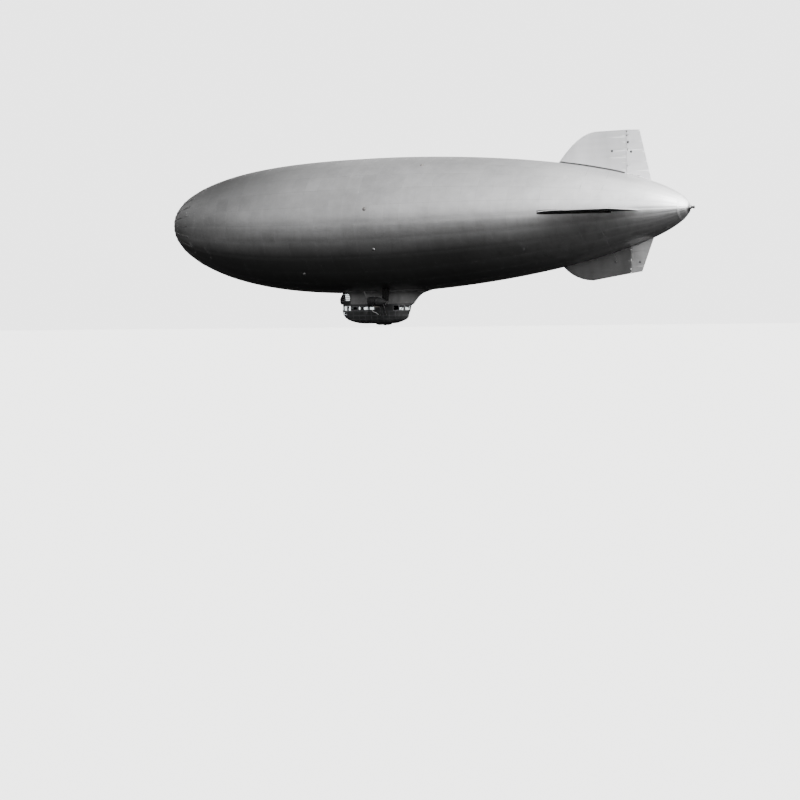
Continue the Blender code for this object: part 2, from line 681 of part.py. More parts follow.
def build_door():
    rows = [between(TUB, DOOR_LOW - 0.1), *TUB[-2:], CABIN[1]]
    door = wall("door_starboard", rows, CAR_WALL, HULL_GREY)
    door = combine(door, [door_box()], "INTERSECT")
    pane_front, pane_rear = DOOR_PANE
    pane_low, pane_high = PANE_Z[0], PANE_Z[1] - 0.03
    door = cut(door, box("pane", (pane_front, 0.4, pane_low), (pane_rear, 1.0, pane_high)))
    x, y = DOOR_HINGE
    for z in KNUCKLES:
        low, high = z - KNUCKLE_HALF, z + KNUCKLE_HALF
        knuckle = turned("knuckle", [(0.017, high), (0.017, low), (0.0085, low), (0.0085, high)], 16,
                         centre=(x, y, 0.0), loop=True)
        leaf = box("leaf", (x - 0.070, y - 0.022, low + 0.005), (x - 0.012, y - 0.004, high - 0.005))
        foot = box("foot", (x - 0.066, y - 0.040, low + 0.008), (x - 0.028, y - 0.015, high - 0.008))
        door = unite(door, unite(knuckle, leaf, foot))
    set_origin(smooth(door), (x, y, DOOR_MIDDLE))
    glass = wall("door_glass", stretch(CABIN, pane_low - 0.012, pane_high + 0.012), GLASS, CLEAR,
                 inset=CAR_WALL + GAP)
    pane = box("pane", (pane_front - 0.012, 0.4, pane_low - 0.1), (pane_rear + 0.012, 1.0, pane_high + 0.1))
    set_origin(combine(glass, [pane], "INTERSECT"), (x, y, DOOR_MIDDLE))

    pin = rod("door_hinge", (x, y, BRACKETS[0] - 0.015), (x, y, BRACKETS[1] + 0.015), 0.008, STEEL, sides=12)
    for z in BRACKETS:
        pin = unite(pin, box("bracket", (x - 0.006, y - 0.10, z - 0.012), (x + 0.035, y + 0.006, z + 0.012)))
    smooth(cut(pin, stack_solid(list(TUB) + [CABIN[1]], GAP)))


def build_fairing():
    """The fabric curtain between the car and the bag, which flares out to the bag."""
    fairing = wall("car_fairing", FAIRING, FAIRING_WALL, FABRIC)
    smooth(cut(fairing, bag_solid(-9.0, 5.0, GAP)))


def build_turret():
    turret = wall("bow_turret", TURRET, TURRET_WALL, HULL_GREY)
    panes = side_boxes(TURRET_PANES, TURRET_PANE_Z)
    smooth(cut(turret, bag_solid(-9.0, 5.0, GAP), stack_solid(FAIRING, GAP), *panes))
    low, high = TURRET_PANE_Z
    rows = stretch(TURRET, low - GLASS_LAP, high)
    glass = wall("turret_glass", rows, GLASS, CLEAR, inset=TURRET_WALL + GAP)
    smooth(cut(glass, bag_solid(-9.0, 5.0, 0.01), stack_solid(FAIRING, GAP)))


def mirrored(point, side):
    return (point[0], point[1] * side, point[2])


def build_engine(side_name, side):
    hub = (0.0, ENGINE_Y * side, ENGINE_Z)
    lie = (0.0, ABOUT_X, 0.0)
    skirt = COWL_RADIUS - 0.010
    outside = [(COWL_RADIUS - 0.045, COWL_FRONT + 0.02), (COWL_RADIUS - 0.018, COWL_FRONT),
               (COWL_RADIUS, COWL_FRONT + 0.06), (COWL_RADIUS, COWL_REAR - 0.05), (skirt, COWL_REAR)]
    inside = [(skirt - COWL_WALL, COWL_REAR), (COWL_RADIUS - COWL_WALL, COWL_REAR - 0.05),
              (COWL_RADIUS - COWL_WALL, COWL_FRONT + 0.075)]
    turned("cowl_" + side_name, [(r, -x) for r, x in outside + inside], COWL_SIDES, SILVER, centre=hub,
           tilt=lie, loop=True)

    middle = (COWL_FRONT + COWL_REAR) / 2.0
    case = [(0.0, COWL_FRONT - 0.04), (0.045, COWL_FRONT - 0.04), (0.055, COWL_FRONT + 0.02),
            (0.110, COWL_FRONT + 0.09), (0.130, middle - 0.04), (0.130, middle + 0.09),
            (0.250, COWL_REAR - 0.035), (0.250, COWL_REAR), (0.0, COWL_REAR)]
    engine = turned("engine_" + side_name, [(r, -x) for r, x in case], 18, IRON, centre=hub, tilt=lie)
    flat = (COWL_RADIUS - COWL_WALL) * math.cos(math.pi / COWL_SIDES)
    reach = math.sqrt((flat - GAP) ** 2 - BARREL_RADIUS ** 2)
    start = Vector((middle, hub[1], hub[2]))
    for k in range(CYLINDERS):
        angle = 2.0 * math.pi * k / CYLINDERS
        way = Vector((0.0, math.sin(angle), math.cos(angle)))
        barrel = rod("barrel", start + way * 0.09, start + way * reach, BARREL_RADIUS, sides=10)
        engine = unite(engine, barrel)
    smooth(engine)

    shape = [(0.0, COWL_REAR + GAP), (0.290, COWL_REAR + GAP), (0.315, COWL_REAR + 0.10),
             (0.300, COWL_REAR + 0.30), (0.235, COWL_REAR + 0.52), (0.130, COWL_REAR + 0.70),
             (0.040, NACELLE_TAIL), (0.0, NACELLE_TAIL)]
    turned("nacelle_" + side_name, [(r, -x) for r, x in shape], COWL_SIDES, SILVER, centre=hub, tilt=lie)
    shadow = turned("nacelle_cutter", [(r + GAP if r else 0.0, -x) for r, x in shape], COWL_SIDES, centre=hub,
                    tilt=lie)
    build_outrigger(side_name, side, shadow)
    build_propeller(side_name, side, hub)


def build_outrigger(side_name, side, nacelle):
    """Welded struts that carry the nacelle, trimmed to the car's side and to the nacelle."""
    frame = rod("outrigger_" + side_name, mirrored((JOINT_X[0] - 0.03, JOINT_Y, ENGINE_Z), side),
                mirrored((JOINT_X[1] + 0.03, JOINT_Y, ENGINE_Z), side), 0.035, STEEL, sides=10)
    for x, feet in zip(JOINT_X, OUTRIGGER_FEET):
        joint = mirrored((x, JOINT_Y, ENGINE_Z), side)
        for foot_x, foot_z in feet:
            foot = mirrored((foot_x, 0.60, foot_z), side)
            frame = unite(frame, rod("strut", foot, joint, STRUT_RADIUS, sides=10))
        inner, outer = mirrored((x, JOINT_Y - 0.02, ENGINE_Z), side), mirrored((x, ENGINE_Y, ENGINE_Z), side)
        frame = unite(frame, rod("arm", inner, outer, 0.030, sides=10))
    smooth(cut(frame, nacelle, stack_solid(list(TUB) + [CABIN[1]], GAP)))


def build_propeller(side_name, side, hub):
    """Three-blade tractor propeller; the two turn the same way."""
    rear = COWL_FRONT - 0.04 - GAP
    nose = [(0.0, PROP_X - 0.09), (0.030, PROP_X - 0.08), (0.062, PROP_X - 0.045), (0.070, PROP_X),
            (0.062, rear), (0.0, rear)]
    prop = turned("propeller_" + side_name, [(r, -x) for r, x in nose], 20, BLADE, centre=hub,
                  tilt=(0.0, ABOUT_X, 0.0))
    for k in range(BLADES):
        rings = []
        for step in range(BLADE_STATIONS):
            share = step / (BLADE_STATIONS - 1)
            out = 0.03 + (PROP_RADIUS - 0.03) * share
            chord = 0.045 + 0.050 * math.sin(math.pi * min(1.0, share * 1.15) ** 0.8)
            chord = chord if share < 1.0 else 0.030
            thick = 0.022 - 0.016 * share
            pitch = math.radians(68.0 - 50.0 * share)
            ring = []
            for a, b in BLADE_SECTION:
                across, deep = a * chord, b * thick
                y = across * math.cos(pitch) - deep * math.sin(pitch)
                x = across * math.sin(pitch) + deep * math.cos(pitch)
                ring.append((PROP_X + x * BLADE_LEAN, y, out))
            rings.append(ring)
        blade = loft("blade", rings)
        turn = Matrix.Rotation(2.0 * math.pi * k / BLADES + FIRST_BLADE, 4, "X")
        blade.data.transform(Matrix.Translation(hub) @ turn)
        prop = unite(prop, blade)
    set_origin(smooth(prop), (PROP_X, hub[1], hub[2]))


def build_scoop(side_name, side):
    """An air duct that hangs from the bag, with its mouth behind the propeller."""
    near, far = sorted(((SCOOP_Y - SCOOP_HALF) * side, (SCOOP_Y + SCOOP_HALF) * side))
    scoop = box("air_scoop_" + side_name, (SCOOP_FRONT, near, SCOOP_LOW), (SCOOP_REAR, far, -4.2), FABRIC)
    bevel = scoop.modifiers.new("edges", "BEVEL")
    bevel.width = SCOOP_EDGE
    bevel.segments = 2
    scoop = baked(scoop)
    mouth = box("mouth", (SCOOP_FRONT - 0.1, near + SCOOP_WALL, SCOOP_LOW + SCOOP_WALL),
                (SCOOP_REAR - 0.05, far - SCOOP_WALL, SCOOP_MOUTH))
    smooth(cut(scoop, mouth, bag_solid(-9.0, 5.0, GAP)))


def build_bulge():
    """The rounded fairing under the keel, open round the wheel."""
    frame = bmesh.new()
    bmesh.ops.create_uvsphere(frame, u_segments=24, v_segments=12, radius=1.0)
    bmesh.ops.scale(frame, vec=BULGE, verts=frame.verts)
    bmesh.ops.translate(frame, vec=(SWIVEL_X + 0.02, 0.0, TUB[0][0]), verts=frame.verts)
    mesh = bpy.data.meshes.new("wheel_fairing")
    frame.to_mesh(mesh)
    frame.free()
    bulge = add("wheel_fairing", mesh, HULL_GREY)
    hull = stack_solid([at_height(TUB[0], TUB[0][0] - GAP)] + list(TUB[1:]), GAP)
    smooth(cut(bulge, hull, wheel_well()))


def build_landing_gear():
    top = CROWN_Z - GAP
    rod("gear_leg", (SWIVEL_X, 0.0, CROWN_Z), (SWIVEL_X, 0.0, DECK_Z - DECK_THICK - GAP), LEG_RADIUS, STEEL,
        sides=20)
    hub_x = SWIVEL_X + TRAIL
    near = TYRE_HALF + FORK_CLEAR
    far = near + FORK_LEG
    fork = rod("caster_fork", (SWIVEL_X, 0.0, top - CROWN_THICK), (SWIVEL_X, 0.0, top), CROWN_RADIUS, STEEL,
               sides=20)
    bridge = box("bridge", (SWIVEL_X - 0.05, -far - 0.002, top - CROWN_THICK),
                 (hub_x + FORK_HALF + 0.005, far + 0.002, top - 0.004))
    fork = unite(fork, bridge)
    for side in (-1.0, 1.0):
        inner, outer = sorted((near * side, far * side))
        fork = unite(fork, box("leg", (hub_x - FORK_HALF, inner, WHEEL_Z - FORK_HALF),
                               (hub_x + FORK_HALF, outer, top - 0.010)))
    axle = rod("axle", (hub_x, -near - 0.010, WHEEL_Z), (hub_x, near + 0.010, WHEEL_Z), AXLE_RADIUS, sides=16)
    set_origin(smooth(unite(fork, axle)), (SWIVEL_X, 0.0, CROWN_Z))

    rim = WHEEL_RADIUS * 0.55
    lie = (ABOUT_X, 0.0, 0.0)
    bore = AXLE_RADIUS + 0.0006
    boss = near - GAP
    hub = [(rim, 0.040), (rim, -0.040), (rim - 0.02, -0.045), (0.05, -0.020), (0.04, -boss), (bore, -boss),
           (bore, boss), (0.04, boss), (0.05, 0.020), (rim - 0.02, 0.045)]
    wheel = turned("wheel_hub", hub, WHEEL_SIDES, STEEL, centre=(hub_x, 0.0, WHEEL_Z), tilt=lie, loop=True)
    set_origin(wheel, (hub_x, 0.0, WHEEL_Z))
    shoulder = WHEEL_RADIUS - 0.035
    edge = WHEEL_RADIUS - 0.008
    tyre = [(rim + GAP, 0.040), (rim + 0.03, TYRE_HALF), (shoulder, TYRE_HALF), (edge, TYRE_HALF * 0.6),
            (WHEEL_RADIUS, 0.0), (edge, -TYRE_HALF * 0.6), (shoulder, -TYRE_HALF), (rim + 0.03, -TYRE_HALF),
            (rim + GAP, -0.040)]
    tread = turned("tyre", tyre, WHEEL_SIDES, RUBBER, centre=(hub_x, 0.0, WHEEL_Z), tilt=lie, loop=True)
    set_origin(tread, (hub_x, 0.0, WHEEL_Z))


clear_scene()
PARTS = new_collection("patrol_blimp")
CUTTERS = new_collection("cutters")
SILVER = finish("silver_dope", (0.62, 0.63, 0.64), 0.45, 0.1)
FABRIC = finish("fairing_fabric", (0.42, 0.43, 0.44), 0.7)
HULL_GREY = finish("car_metal", (0.22, 0.23, 0.24), 0.45, 0.3)
DARK = finish("deck_dark", (0.10, 0.10, 0.10), 0.7)
STEEL = finish("steel", (0.35, 0.36, 0.37), 0.35, 0.9)
IRON = finish("engine_iron", (0.12, 0.12, 0.12), 0.5, 0.7)
BLADE = finish("blade_black", (0.06, 0.06, 0.06), 0.4)
RUBBER = finish("rubber", (0.04, 0.04, 0.04), 0.8)
CLEAR = finish("glass", (0.8, 0.85, 0.86), 0.05, alpha=0.35)

build_envelope()
build_nose()
build_tail()
for fin_side, fin_sizes in FINS.items():
    build_fin(fin_side, fin_sizes)
build_tub()
build_cabin()
build_door()
build_fairing()
build_turret()
for name_of_side, sign_of_side in SIDES:
    build_engine(name_of_side, sign_of_side)
    build_scoop(name_of_side, sign_of_side)
build_bulge()
build_landing_gear()
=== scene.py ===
from itertools import groupby
import json
import math

import bmesh
import bpy
from mathutils import Matrix, Vector
from mathutils.bvhtree import BVHTree

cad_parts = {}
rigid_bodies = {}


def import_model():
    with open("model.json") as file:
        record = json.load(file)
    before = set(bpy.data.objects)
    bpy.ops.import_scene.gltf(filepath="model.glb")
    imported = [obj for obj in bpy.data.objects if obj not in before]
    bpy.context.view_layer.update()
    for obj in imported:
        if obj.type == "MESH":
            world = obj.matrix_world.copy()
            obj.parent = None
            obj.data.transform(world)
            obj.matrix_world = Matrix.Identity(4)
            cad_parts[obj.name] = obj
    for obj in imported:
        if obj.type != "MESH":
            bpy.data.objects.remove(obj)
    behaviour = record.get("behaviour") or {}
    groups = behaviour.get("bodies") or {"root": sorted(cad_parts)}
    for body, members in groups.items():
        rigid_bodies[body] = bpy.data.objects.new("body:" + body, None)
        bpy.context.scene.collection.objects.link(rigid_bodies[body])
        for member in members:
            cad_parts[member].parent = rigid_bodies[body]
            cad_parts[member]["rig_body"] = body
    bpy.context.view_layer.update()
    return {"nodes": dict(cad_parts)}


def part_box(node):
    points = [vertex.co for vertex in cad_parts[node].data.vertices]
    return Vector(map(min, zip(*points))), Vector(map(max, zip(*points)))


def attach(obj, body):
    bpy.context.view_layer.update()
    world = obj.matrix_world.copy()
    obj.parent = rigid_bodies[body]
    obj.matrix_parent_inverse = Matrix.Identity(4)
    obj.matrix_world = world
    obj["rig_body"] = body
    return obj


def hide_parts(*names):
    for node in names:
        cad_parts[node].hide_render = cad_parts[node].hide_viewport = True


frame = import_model()
nodes = frame["nodes"]
up = Vector((0, 0, 1))
bothSides = {"port": -1.0, "starboard": 1.0}


# Small helpers for node trees, of shaders and of geometry alike

def addNode(tree, kind, sockets=None, **settings):
    node = tree.nodes.new(kind)
    for key, value in settings.items():
        setattr(node, key, value)
    for key, value in (sockets or {}).items():
        if isinstance(value, bpy.types.NodeSocket):
            tree.links.new(value, node.inputs[key])
        else:
            node.inputs[key].default_value = value
    return node


def calc(tree, operation, first, second=0.0, third=0.0):
    node = addNode(tree, "ShaderNodeMath", {0: first, 1: second, 2: third}, operation=operation)
    return node.outputs[0]


def mixColours(tree, share, first, second):
    # A colour is a socket, three numbers, or one number for a grey
    node = addNode(tree, "ShaderNodeMix", {0: share}, data_type="RGBA")
    for index, value in ((6, first), (7, second)):
        if isinstance(value, bpy.types.NodeSocket):
            tree.links.new(value, node.inputs[index])
        else:
            colour = (value, value, value) if isinstance(value, float) else value
            node.inputs[index].default_value = (*colour, 1)
    return node.outputs[2]


def remap(tree, value, low, high, outLow=0.0, outHigh=1.0):
    sockets = {0: value, 1: low, 2: high, 3: outLow, 4: outHigh}
    return addNode(tree, "ShaderNodeMapRange", sockets).outputs[0]


# Finishes. Each surface has large stains, a fine grain and a roughness that follows the grain.

def startMaterial(name):
    material = bpy.data.materials.new(name)
    material.use_nodes = True
    tree = material.node_tree
    return material, tree, tree.nodes["Principled BSDF"]


def objectPlace(tree, stretch=(1, 1, 1)):
    source = addNode(tree, "ShaderNodeTexCoord").outputs["Object"]
    return addNode(tree, "ShaderNodeMapping", {"Vector": source, "Scale": stretch}).outputs[0]


def noiseAt(tree, place, scale, detail=4.0, roughness=0.55, distortion=0.0):
    sockets = {"Vector": place, "Scale": scale, "Detail": detail, "Roughness": roughness,
               "Distortion": distortion}
    return addNode(tree, "ShaderNodeTexNoise", sockets).outputs[0]


def bumpFrom(tree, height, strength, distance, under=None):
    sockets = {"Height": height, "Strength": strength, "Distance": distance}
    if under:
        sockets["Normal"] = under
    return addNode(tree, "ShaderNodeBump", sockets).outputs[0]


def facingUp(tree):
    # 1 where a surface faces up, -1 where it faces down
    normal = addNode(tree, "ShaderNodeNewGeometry").outputs["Normal"]
    return addNode(tree, "ShaderNodeSeparateXYZ", {0: normal}).outputs[2]


def weave(tree, pitch):
    place = objectPlace(tree)
    threads = []
    for direction in ("X", "Z"):
        sockets = {"Vector": place, "Scale": 1 / pitch, "Distortion": 0.4, "Detail": 1.0}
        threads.append(addNode(tree, "ShaderNodeTexWave", sockets, bands_direction=direction).outputs[1])
    return calc(tree, "MULTIPLY", threads[0], threads[1])


# Painted shade and highlight in the bag's colour: darker under it, on its nose and along its top, lighter on
# the tail's top
bagShade = {
    "grime": 0.07, "nose": 0.55, "noseEnds": (-9.6, -19.0),
    "belly": 0.90, "bellyFacing": (-0.12, -0.52), "bellyEnds": (5.0, 16.0), "bellyAtTail": 0.45,
    "top": (0.26, 0.97), "topFacing": (0.15, 0.85), "topEnds": (-4.0, -14.0), "topFade": (12.0, 8.0),
    "clean": 0.82, "cleanMost": 0.6, "cleanFacing": (0.3, 0.9), "cleanEnds": (7.0, 13.0),
}


def shadeBag(tree, colour):
    # Painted shade under the bag, on its nose and along its top, and a painted highlight on the top over the
    # tail
    x = addNode(tree, "ShaderNodeSeparateXYZ", {0: objectPlace(tree)}).outputs[0]
    facing = facingUp(tree)
    nose = remap(tree, x, *bagShade["noseEnds"], 0.0, bagShade["nose"])
    belly = calc(tree, "MULTIPLY", remap(tree, facing, *bagShade["bellyFacing"], 0.0, bagShade["belly"]),
                 remap(tree, x, *bagShade["bellyEnds"], 1.0, bagShade["bellyAtTail"]))
    top = calc(tree, "MULTIPLY", remap(tree, facing, *bagShade["topFacing"]),
               remap(tree, x, *bagShade["topEnds"], *bagShade["top"]))
    top = calc(tree, "MULTIPLY", top, remap(tree, x, *bagShade["topFade"]))
    share = calc(tree, "MAXIMUM", calc(tree, "MAXIMUM", nose, belly), top)
    clean = calc(tree, "MULTIPLY", remap(tree, x, *bagShade["cleanEnds"], 0.0, bagShade["cleanMost"]),
                 remap(tree, facing, *bagShade["cleanFacing"]))
    return mixColours(tree, share, mixColours(tree, clean, colour, bagShade["clean"]), bagShade["grime"])


# What every finish has unless it says otherwise
usualLook = {
    "stretch": (1, 1, 1), "stainRange": (0.35, 0.68), "grainDetail": 6.0, "grainRoughness": 0.6,
    "grainRange": (0.3, 0.7), "fleck": 0.35, "fleckRange": (0.58, 0.72), "undersideFacing": (-0.3, -0.75),
    "metallic": 0.0, "bump": 0.2, "bumpDepth": 0.001,
}


def makeFinish(name, ownLook):
    look = {**usualLook, **ownLook}
    material, tree, shader = startMaterial(name)
    stains = noiseAt(tree, objectPlace(tree, look["stretch"]), look["stainScale"])
    grain = noiseAt(tree, objectPlace(tree), look["grainScale"], look["grainDetail"], look["grainRoughness"])
    colour = mixColours(tree, remap(tree, stains, *look["stainRange"]), look["dark"], look["light"])
    fleck = calc(tree, "MULTIPLY", remap(tree, grain, *look["fleckRange"]), look["fleck"])
    colour = mixColours(tree, fleck, colour, look.get("fleckColour", look["dark"]))
    # Painted shade and highlight, the same as on the bag
    if "onBag" in look:
        colour = shadeBag(tree, colour)
    # Painted shade on surfaces that face down
    if "underside" in look:
        under = remap(tree, facingUp(tree), *look["undersideFacing"])
        colour = mixColours(tree, under, colour, look["underside"])
    tree.links.new(colour, shader.inputs["Base Color"])
    rough = remap(tree, grain, *look["grainRange"], *look["roughness"])
    tree.links.new(rough, shader.inputs["Roughness"])
    shader.inputs["Metallic"].default_value = look["metallic"]
    height = weave(tree, look["weave"]) if "weave" in look else grain
    tree.links.new(bumpFrom(tree, height, look["bump"], look["bumpDepth"]), shader.inputs["Normal"])
    if "specular" in look:
        shader.inputs["Specular IOR Level"].default_value = look["specular"]
    return material


ribbedCloth = {"grainScale": 45, "stretch": (1, 1, 0.3), "weave": 0.003, "bumpDepth": 0.0004}
finishes = {
    "conePaint": {"dark": 0.05, "light": 0.09, "stainScale": 0.9, "grainScale": 60,
                  "roughness": (0.5, 0.7), "bumpDepth": 0.0006},
    "finCloth": {**ribbedCloth, "dark": (0.44, 0.44, 0.45), "light": (0.54, 0.54, 0.55), "stainScale": 0.7,
                 "roughness": (0.55, 0.75), "underside": 0.02},
    "rudderCloth": {**ribbedCloth, "dark": (0.60, 0.60, 0.61), "light": (0.70, 0.70, 0.71), "stainScale": 0.8,
                    "roughness": (0.55, 0.75), "underside": 0.02},
    # Painted shade: darker copies of the rudder and fin cloth for the lower fin, shaded by the bag and side
    # fins
    "keelRudder": {**ribbedCloth, "dark": 0.13, "light": 0.22, "stainScale": 0.9, "roughness": (0.6, 0.8)},
    "keelCloth": {**ribbedCloth, "dark": 0.030, "light": 0.052, "stainScale": 0.9, "roughness": (0.6, 0.8)},
    "tapeCloth": {"dark": (0.47, 0.47, 0.475), "light": (0.56, 0.56, 0.565), "stainScale": 1.5,
                  "grainScale": 70, "roughness": (0.30, 0.42), "metallic": 0.85, "weave": 0.002,
                  "bumpDepth": 0.0003, "onBag": True},
    "rootCloth": {"dark": 0.04, "light": 0.07, "stainScale": 3.0, "grainScale": 80,
                  "roughness": (0.7, 0.9), "weave": 0.003, "bumpDepth": 0.0004},
    # Painted shade: the car's paint is made near black for the shade it lies in under the bag
    "carPaint": {"dark": (0.008, 0.0084, 0.0088), "light": (0.017, 0.0174, 0.0178), "stainScale": 1.6,
                 "grainScale": 90, "stretch": (1, 1, 0.35), "roughness": (0.45, 0.65), "bumpDepth": 0.0005,
                 "specular": 0.35},
    "framePaint": {"dark": (0.030, 0.030, 0.032), "light": (0.055, 0.055, 0.058), "stainScale": 4.0,
                   "grainScale": 120, "roughness": (0.4, 0.6), "bumpDepth": 0.0004},
    # Painted shade: the curtain cloth is made dark for the shade it lies in under the bag
    "curtainCloth": {"dark": 0.050, "light": 0.090, "stainScale": 1.1, "grainScale": 60,
                     "stretch": (1, 1, 0.25), "roughness": (0.65, 0.85), "weave": 0.003, "bumpDepth": 0.0005},
    "deckPaint": {"dark": 0.06, "light": 0.12, "stainScale": 2.5, "grainScale": 110, "roughness": (0.6, 0.8),
                  "fleckColour": 0.2},
    "seatPaint": {"dark": 0.08, "light": 0.13, "stainScale": 5.0, "grainScale": 140, "roughness": (0.4, 0.6)},
    "seatHide": {"dark": (0.10, 0.075, 0.055), "light": (0.17, 0.125, 0.09), "stainScale": 6.0,
                 "grainScale": 220, "roughness": (0.45, 0.65), "bump": 0.5, "bumpDepth": 0.0008,
                 "fleckColour": (0.05, 0.04, 0.03)},
    "strutPaint": {"dark": (0.20, 0.20, 0.21), "light": (0.30, 0.30, 0.31), "stainScale": 4.0,
                   "grainScale": 110, "roughness": (0.4, 0.6), "metallic": 0.3},
    # Painted shade: the nacelles and cowls are made near black for the shade they lie in under the bag
    "nacellePaint": {"dark": (0.004, 0.004, 0.0043), "light": (0.009, 0.009, 0.0093), "stainScale": 2.2,
                     "grainScale": 90, "stretch": (0.3, 1, 1), "roughness": (0.55, 0.75),
                     "bumpDepth": 0.0005, "specular": 0.15},
    # Painted shade: the air scoops are made near black for the shade they lie in
    "scoopPaint": {"dark": 0.003, "light": 0.007, "stainScale": 2.0, "grainScale": 90,
                   "roughness": (0.7, 0.9), "specular": 0.05},
    "railPaint": {"dark": 0.52, "light": 0.66, "stainScale": 3.0, "grainScale": 110,
                  "roughness": (0.4, 0.55)},
    "engineIron": {"dark": 0.09, "light": (0.20, 0.19, 0.18), "stainScale": 9.0, "grainScale": 160,
                   "roughness": (0.5, 0.75), "metallic": 0.6, "fleckColour": (0.16, 0.09, 0.05)},
    "exhaustIron": {"dark": (0.055, 0.048, 0.043), "light": (0.10, 0.088, 0.078), "stainScale": 8.0,
                    "grainScale": 130, "roughness": (0.6, 0.85), "metallic": 0.5},
    "bladePaint": {"dark": 0.010, "light": 0.022, "stainScale": 3.0, "grainScale": 120,
                   "roughness": (0.6, 0.8), "fleckColour": 0.12, "fleck": 0.2},
    "steel": {"dark": (0.22, 0.22, 0.225), "light": (0.38, 0.38, 0.385), "stainScale": 7.0,
              "grainScale": 180, "roughness": (0.25, 0.45), "metallic": 0.9,
              "fleckColour": (0.12, 0.09, 0.07)},
    "darkSteel": {"dark": 0.05, "light": 0.10, "stainScale": 7.0, "grainScale": 180,
                  "roughness": (0.35, 0.55), "metallic": 0.7},
    "rubber": {"dark": 0.020, "light": (0.045, 0.044, 0.042), "stainScale": 6.0, "grainScale": 150,
               "roughness": (0.7, 0.9), "bump": 0.4, "fleckColour": (0.09, 0.085, 0.08)},
}
paint = {name: makeFinish(name, look) for name, look in finishes.items()}

clearSheet = {"tints": ((0.60, 0.63, 0.64), (0.72, 0.74, 0.74)), "smearScale": 9.0, "smearDetail": 5.0,
              "smearRange": (0.4, 0.7), "roughness": (0.01, 0.07), "bend": 1.05}


def makeGlass():
    material, tree, shader = startMaterial("clearSheet")
    smear = noiseAt(tree, objectPlace(tree), clearSheet["smearScale"], clearSheet["smearDetail"])
    tree.links.new(mixColours(tree, smear, *clearSheet["tints"]), shader.inputs["Base Color"])
    rough = remap(tree, smear, *clearSheet["smearRange"], *clearSheet["roughness"])
    tree.links.new(rough, shader.inputs["Roughness"])
    shader.inputs["Transmission Weight"].default_value = 1.0
    shader.inputs["IOR"].default_value = clearSheet["bend"]
    return material


paint["glass"] = makeGlass()
print("finishes made:", len(paint))


# Geometry Nodes trees. Three of them follow paths: a flat ribbon, a round rod and a row of small parts.

def startTree(name, inputs):
    tree = bpy.data.node_groups.new(name, "GeometryNodeTree")
    tree.interface.new_socket("Geometry", in_out="INPUT", socket_type="NodeSocketGeometry")
    tree.interface.new_socket("Geometry", in_out="OUTPUT", socket_type="NodeSocketGeometry")
    for label, value in inputs.items():
        kind = "NodeSocketInt" if isinstance(value, int) else "NodeSocketFloat"
        tree.interface.new_socket(label, in_out="INPUT", socket_type=kind).default_value = value
    tree.interface.new_socket("Material", in_out="INPUT", socket_type="NodeSocketMaterial")
    return tree, addNode(tree, "NodeGroupInput").outputs


def endTree(tree, geometry, material, smooth=True):
    smoothed = addNode(tree, "GeometryNodeSetShadeSmooth", {"Geometry": geometry, "Shade Smooth": smooth})
    real = addNode(tree, "GeometryNodeRealizeInstances", {"Geometry": smoothed.outputs[0]})
    coated = addNode(tree, "GeometryNodeSetMaterial", {"Geometry": real.outputs[0], "Material": material})
    addNode(tree, "NodeGroupOutput", {0: coated.outputs[0]})
    return tree


def readOutward(tree):
    sockets = {"Name": "outward"}
    return addNode(tree, "GeometryNodeInputNamedAttribute", sockets, data_type="FLOAT_VECTOR").outputs[0]


def turnOutward(tree):
    sockets = {"Vector": readOutward(tree)}
    return addNode(tree, "FunctionNodeAlignRotationToVector", sockets, axis="Z").outputs[0]


def sweep(tree, curve, profile):
    sockets = {"Curve": curve, "Profile Curve": profile.outputs[0], "Fill Caps": True}
    return addNode(tree, "GeometryNodeCurveToMesh", sockets).outputs[0]


def copiesAt(tree, points, part, turn=(0, 0, 0)):
    sockets = {"Points": points, "Instance": part, "Rotation": turn}
    return addNode(tree, "GeometryNodeInstanceOnPoints", sockets).outputs[0]


def joinParts(tree, parts):
    whole = addNode(tree, "GeometryNodeJoinGeometry")
    for part in parts:
        tree.links.new(part, whole.inputs[0])
    return whole.outputs[0]


def makeRibbonTree():
    tree, inputs = startTree("ribbonAlongPath", {"Width": 0.03, "Thickness": 0.002})
    curve = addNode(tree, "GeometryNodeMeshToCurve", {"Mesh": inputs["Geometry"]}).outputs[0]
    turned = addNode(tree, "GeometryNodeSetCurveNormal", {"Curve": curve}, mode="FREE")
    tree.links.new(readOutward(tree), turned.inputs["Normal"])
    profile = addNode(tree, "GeometryNodeCurvePrimitiveQuadrilateral",
                      {"Width": inputs["Thickness"], "Height": inputs["Width"]})
    return endTree(tree, sweep(tree, turned.outputs[0], profile), inputs["Material"], False)


def makeRodTree():
    tree, inputs = startTree("rodAlongPath", {"Radius": 0.01, "Sides": 8})
    curve = addNode(tree, "GeometryNodeMeshToCurve", {"Mesh": inputs["Geometry"]}).outputs[0]
    profile = addNode(tree, "GeometryNodeCurvePrimitiveCircle",
                      {"Resolution": inputs["Sides"], "Radius": inputs["Radius"]})
    return endTree(tree, sweep(tree, curve, profile), inputs["Material"])


def makeRowTree():
    sizes = {"Spacing": 0.05, "Radius": 0.006, "Top Radius": 0.004, "Height": 0.004, "Sides": 6}
    tree, inputs = startTree("rowAlongPath", sizes)
    curve = addNode(tree, "GeometryNodeMeshToCurve", {"Mesh": inputs["Geometry"]}).outputs[0]
    spaced = addNode(tree, "GeometryNodeResampleCurve", {"Curve": curve}, mode="LENGTH")
    tree.links.new(inputs["Spacing"], spaced.inputs["Length"])
    head = addNode(tree, "GeometryNodeMeshCone",
                   {"Vertices": inputs["Sides"], "Radius Top": inputs["Top Radius"],
                    "Radius Bottom": inputs["Radius"], "Depth": inputs["Height"]})
    row = copiesAt(tree, spaced.outputs[0], head.outputs[0], turnOutward(tree))
    return endTree(tree, row, inputs["Material"], False)


